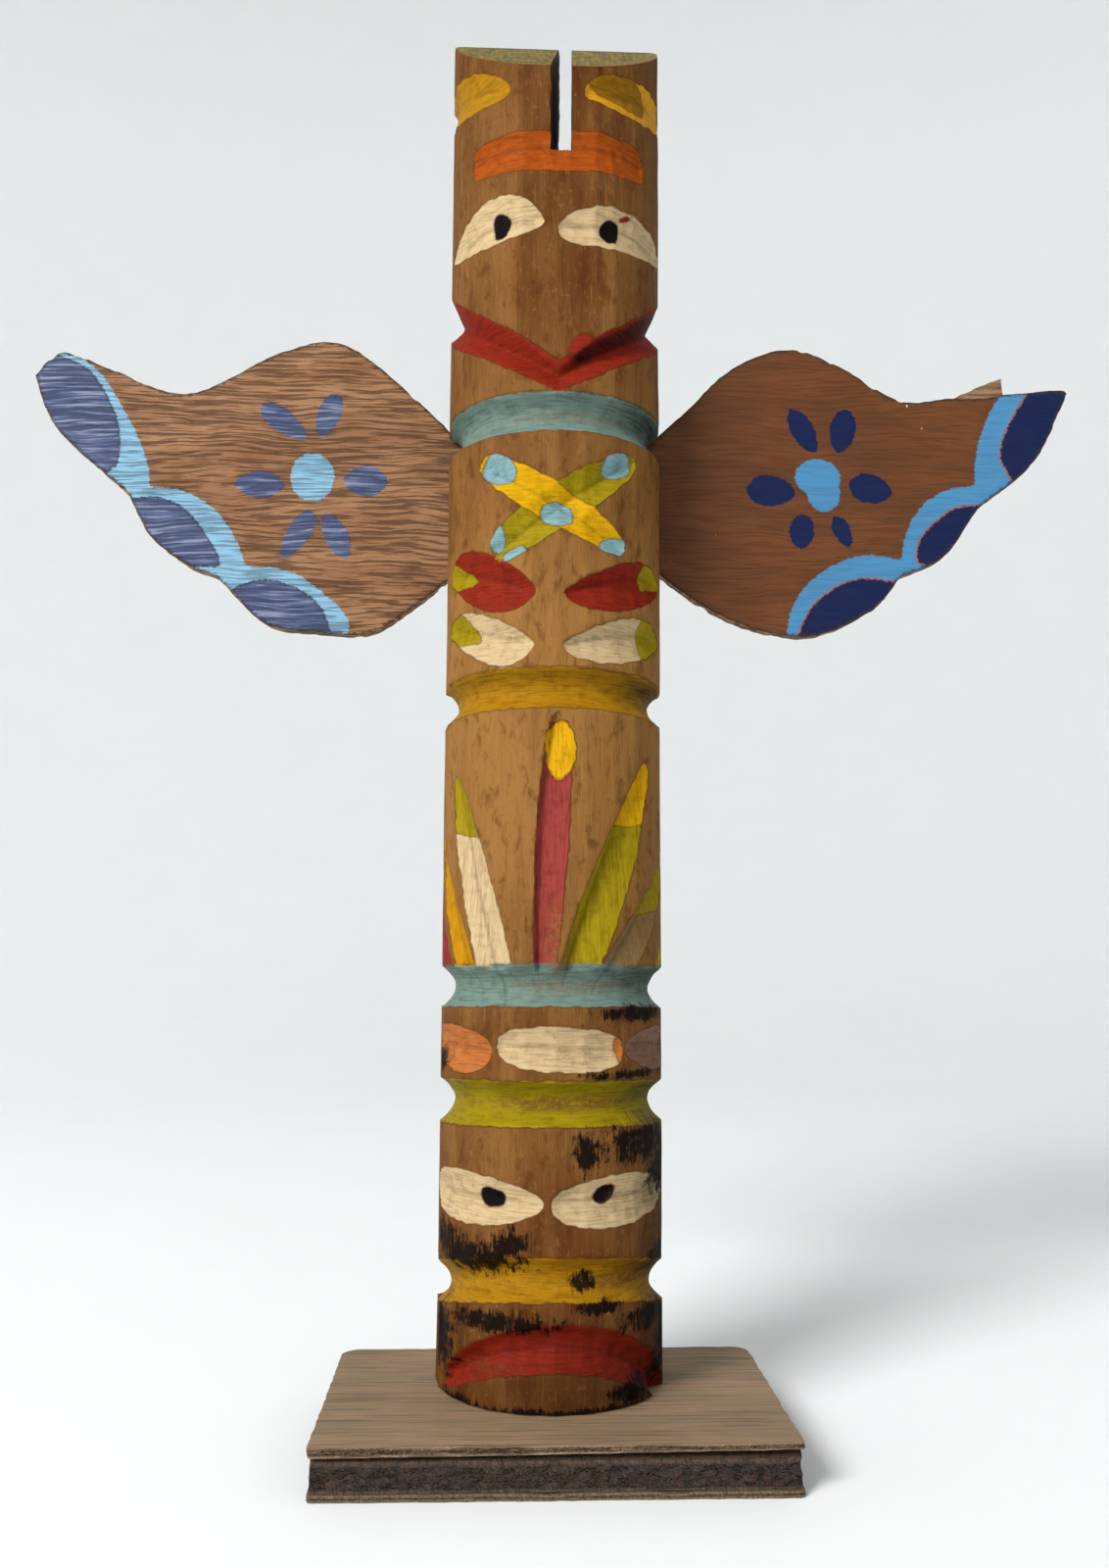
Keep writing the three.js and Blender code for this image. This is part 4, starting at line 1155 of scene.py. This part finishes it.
def make_base(settings):
    """The base: three plies, the top one lifted along the front."""
    low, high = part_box("base")
    half_x, half_y, thick = high.x / MM, high.y / MM, high.z / MM
    gape = settings.gape / MM

    def front(y):
        return float(smooth(-half_y + 4.5, -half_y, np.array(y)))

    def top_ply(x, y, z):
        lower = (thick - z) / 1.9
        lift = (0.55 + 0.45 * x / half_x) * gape * front(y)
        wave = 0.12 * float(ripple(np.array(x / 9.0), np.array(y / 4.0), 2))
        return min(thick, z - 0.1 + lift * lower + wave * (1 - lower) * 0.5)

    def core_ply(x, y, z):
        upper = (z - 1.4) / 6.1
        dip = 0.75 * front(y) * upper * (1 + 0.12 * float(ripple(np.array(x / 2.3), np.array(y * 0), 6)))
        return z - dip

    def bottom_ply(x, y, z):
        notch = 0.5 * float(smooth(0.4, 0.8, ripple(np.array(x / 7.0), np.array(y * 0), 4))) * front(y)
        return z - notch * z / 1.3

    bm = bmesh.new()
    outline = plate_outline(half_x, half_y, 0.8, 4.0)
    add_plate(bm, outline, [0, 0.7, 1.3], 0.05, 0.25, 1, bottom_ply)
    add_plate(bm, outline, [1.35, 2.2, 3.2, 4.2, 5.2, 6.3, 7.5], 0.35, 0.5, 2, core_ply)
    add_plate(bm, outline, [7.55, 8.2, 9.0, thick], 0.0, 0.3, 3, top_ply)
    mesh = finished_mesh(bm, "plywood base")
    mesh.transform(Matrix.Scale(MM, 4))
    for polygon in mesh.polygons:
        flat = abs(polygon.normal.z) > 0.8
        outer = polygon.center.z / MM > 9.0 or polygon.center.z / MM < 0.2
        polygon.material_index = 0 if flat and outer else 1
    finishes = [greyed_top_finish(settings), base_edge_finish(settings)]
    finish_piece("plywood_base", mesh, finishes, "base", sharp=40)


def greyed_top_finish(settings):
    """Weathered top of the base."""
    finish = Finish("greyed plywood top")
    grain = finish.speckle((26, 0.9, 3), 4, 0.6, 0.2)
    broad = finish.speckle((30, 6, 6), 3, 0.55, shift=(4, 2, 1))
    fine = finish.speckle((6, 0.3, 2), 3, 0.6)
    base = finish.mix(finish.step(broad, 0.35, 0.7), settings.top, settings.veneer)
    base = finish.mix(finish.step(grain, 0.5, 0.66, 0.0, 0.7), base, settings.streak)
    base = finish.mix(finish.step(fine, 0.55, 0.7, 0.0, 0.3), base, settings.streak)
    normal = finish.bump(finish.plus(grain, finish.times(fine, 0.5)), 0.25)
    return finish.done(base, finish.step(fine, 0.3, 0.7, 0.7, 0.88), normal)


def base_edge_finish(settings):
    """Cut edges of the base, ply by ply."""
    finish = Finish("plywood base edge")
    height = finish.axis("Z")
    slant = finish.speckle((1.0, 1.0, 2.2), 4, 0.65, 0.8)
    fibre = finish.speckle((7, 7, 0.35), 3, 0.6, 0.2)
    dots = finish.speckle((0.45, 0.45, 0.45), 3, 0.6)
    veneer = finish.mix(finish.step(fibre, 0.35, 0.65), settings.streak, settings.veneer)
    core = finish.mix(finish.step(slant, 0.4, 0.66), settings.core, (0.015, 0.01, 0.007))
    core = finish.mix(finish.step(dots, 0.6, 0.75, 0.0, 0.45), core, settings.veneer)
    under = finish.mix(finish.step(dots, 0.35, 0.65), settings.streak, settings.under)
    base = finish.mix(finish.step(height, 1.28, 1.42), under, core)
    base = finish.mix(finish.step(height, 7.1, 7.4), base, veneer)
    height_map = finish.plus(finish.times(slant, 1.5), dots)
    normal = finish.bump(height_map, 0.45)
    return finish.done(base, finish.step(dots, 0.3, 0.7, 0.8, 0.95), normal)


# ---- the stage ---------------------------------------------------------------------------

def floor_bowl(settings):
    """A pale floor that curves up into walls all round."""
    bm = bmesh.new()
    reach = settings.reach
    profile = [(0.0, 0.0), (reach * 0.3, 0.0)]
    for step in range(1, 10):
        turn = math.radians(step * 10)
        profile.append((reach * (0.3 + 0.7 * math.sin(turn)), reach * 0.7 * (1 - math.cos(turn))))
    profile.append((reach, reach * 1.1))
    verts = [bm.verts.new((r, 0, z)) for r, z in profile]
    edges = [bm.edges.new(pair) for pair in zip(verts[:-1], verts[1:])]
    bmesh.ops.spin(bm, geom=verts + edges, cent=(0, 0, 0), axis=(0, 0, 1), angle=math.tau, steps=64,
                   use_merge=True)
    bmesh.ops.remove_doubles(bm, verts=bm.verts, dist=1e-5)
    bmesh.ops.recalc_face_normals(bm, faces=bm.faces)
    if bm.faces[0].normal.z < 0:
        bmesh.ops.reverse_faces(bm, faces=bm.faces)
    mesh = finished_mesh(bm, "floor")
    for polygon in mesh.polygons:
        polygon.use_smooth = True
    finish = Finish("pale floor")
    paper = finish.speckle((60, 60, 60), 2, 0.5)
    base = finish.mix(finish.step(paper, 0.3, 0.7, 0.0, 0.03), settings.floor, (0.6, 0.6, 0.6))
    mesh.materials.append(finish.done(base, 0.9, finish.bump(paper, 0.05)))
    floor = bpy.data.objects.new("floor", mesh)
    bpy.context.scene.collection.objects.link(floor)


def soft_light(name, place, width, power):
    """A round soft light that shines at the pole."""
    data = bpy.data.lights.new(name, "AREA")
    data.shape = "DISK"
    data.size = width
    data.energy = power
    light = bpy.data.objects.new(name, data)
    light.location = place
    light.rotation_euler = (Vector(AIM) - Vector(place)).to_track_quat("-Z", "Y").to_euler()
    bpy.context.scene.collection.objects.link(light)


def aim_camera():
    """The camera looks slightly up at the pole from the height of the feathers."""
    yaw, pitch, roll = (math.radians(CAMERA[name]) for name in ("yaw", "pitch", "roll"))
    ahead = Vector((math.sin(yaw) * math.cos(pitch), math.cos(yaw) * math.cos(pitch), math.sin(pitch)))
    right = Vector((math.cos(yaw), -math.sin(yaw), 0))
    up = right.cross(ahead)
    turned_right = right * math.cos(roll) + up * math.sin(roll)
    turned_up = up * math.cos(roll) - right * math.sin(roll)
    data = bpy.data.cameras.new("camera")
    data.sensor_width = CAMERA["sensor"]
    data.lens = CAMERA["lens"]
    data.clip_start = CAMERA["near"]
    camera = bpy.data.objects.new("camera", data)
    axes = Matrix((turned_right, turned_up, -ahead)).transposed()
    camera.matrix_world = Matrix.Translation(CAMERA["place"]) @ axes.to_4x4()
    bpy.context.scene.collection.objects.link(camera)
    bpy.context.scene.camera = camera


def make_stage(settings):
    """The floor, lights, room light and camera."""
    floor_bowl(settings)
    for name, (place, width) in LIGHTS.items():
        soft_light(name, place, width, getattr(settings, name))
    world = bpy.data.worlds.new("room")
    world.use_nodes = True
    background = world.node_tree.nodes["Background"]
    background.inputs["Color"].default_value = (1, 1, 1, 1)
    background.inputs["Strength"].default_value = settings.sky
    bpy.context.scene.world = world
    bpy.context.scene.view_settings.view_transform = "Standard"
    aim_camera()


# ---- operators and panel -----------------------------------------------------------------

class TOTEM_OT_pole(bpy.types.Operator):
    """Carves and paints the half-round pole"""
    bl_idname = "totem.pole"
    bl_label = "Carve and paint the pole"

    def execute(self, context):
        make_pole(context.scene.totem_pole)
        return {"FINISHED"}


class TOTEM_OT_wings(bpy.types.Operator):
    """Makes the plywood board of the two painted wings"""
    bl_idname = "totem.wings"
    bl_label = "Make the wings"

    def execute(self, context):
        make_wings(context.scene.totem_wings)
        return {"FINISHED"}


class TOTEM_OT_base(bpy.types.Operator):
    """Makes the greyed plywood base"""
    bl_idname = "totem.base"
    bl_label = "Make the base"

    def execute(self, context):
        make_base(context.scene.totem_base)
        return {"FINISHED"}


class TOTEM_OT_stage(bpy.types.Operator):
    """Sets up the floor, the lights and the camera"""
    bl_idname = "totem.stage"
    bl_label = "Set up the stage"

    def execute(self, context):
        make_stage(context.scene.totem_stage)
        return {"FINISHED"}


class TOTEM_PT_panel(bpy.types.Panel):
    """Lists the steps that make the totem pole"""
    bl_idname = "TOTEM_PT_panel"
    bl_label = "Totem pole"
    bl_space_type = "VIEW_3D"
    bl_region_type = "UI"
    bl_category = "Totem pole"

    def draw(self, context):
        for name in ("totem_pole", "totem_wings", "totem_base", "totem_stage"):
            settings = getattr(context.scene, name)
            column = self.layout.column(align=True)
            for key in settings.__annotations__:
                column.prop(settings, key)
            column.operator(name.replace("_", ".", 1))


CLASSES = (PoleSettings, WingSettings, BaseSettings, StageSettings, TOTEM_OT_pole, TOTEM_OT_wings,
           TOTEM_OT_base, TOTEM_OT_stage, TOTEM_PT_panel)


def register():
    for item in CLASSES:
        bpy.utils.register_class(item)
    bpy.types.Scene.totem_pole = PointerProperty(type=PoleSettings)
    bpy.types.Scene.totem_wings = PointerProperty(type=WingSettings)
    bpy.types.Scene.totem_base = PointerProperty(type=BaseSettings)
    bpy.types.Scene.totem_stage = PointerProperty(type=StageSettings)


def unregister():
    del bpy.types.Scene.totem_pole
    del bpy.types.Scene.totem_wings
    del bpy.types.Scene.totem_base
    del bpy.types.Scene.totem_stage
    for item in reversed(CLASSES):
        bpy.utils.unregister_class(item)


def main():
    """Makes everything."""
    register()
    bpy.ops.totem.stage()
    bpy.ops.totem.base()
    bpy.ops.totem.pole()
    bpy.ops.totem.wings()


if __name__ == "__main__":
    main()
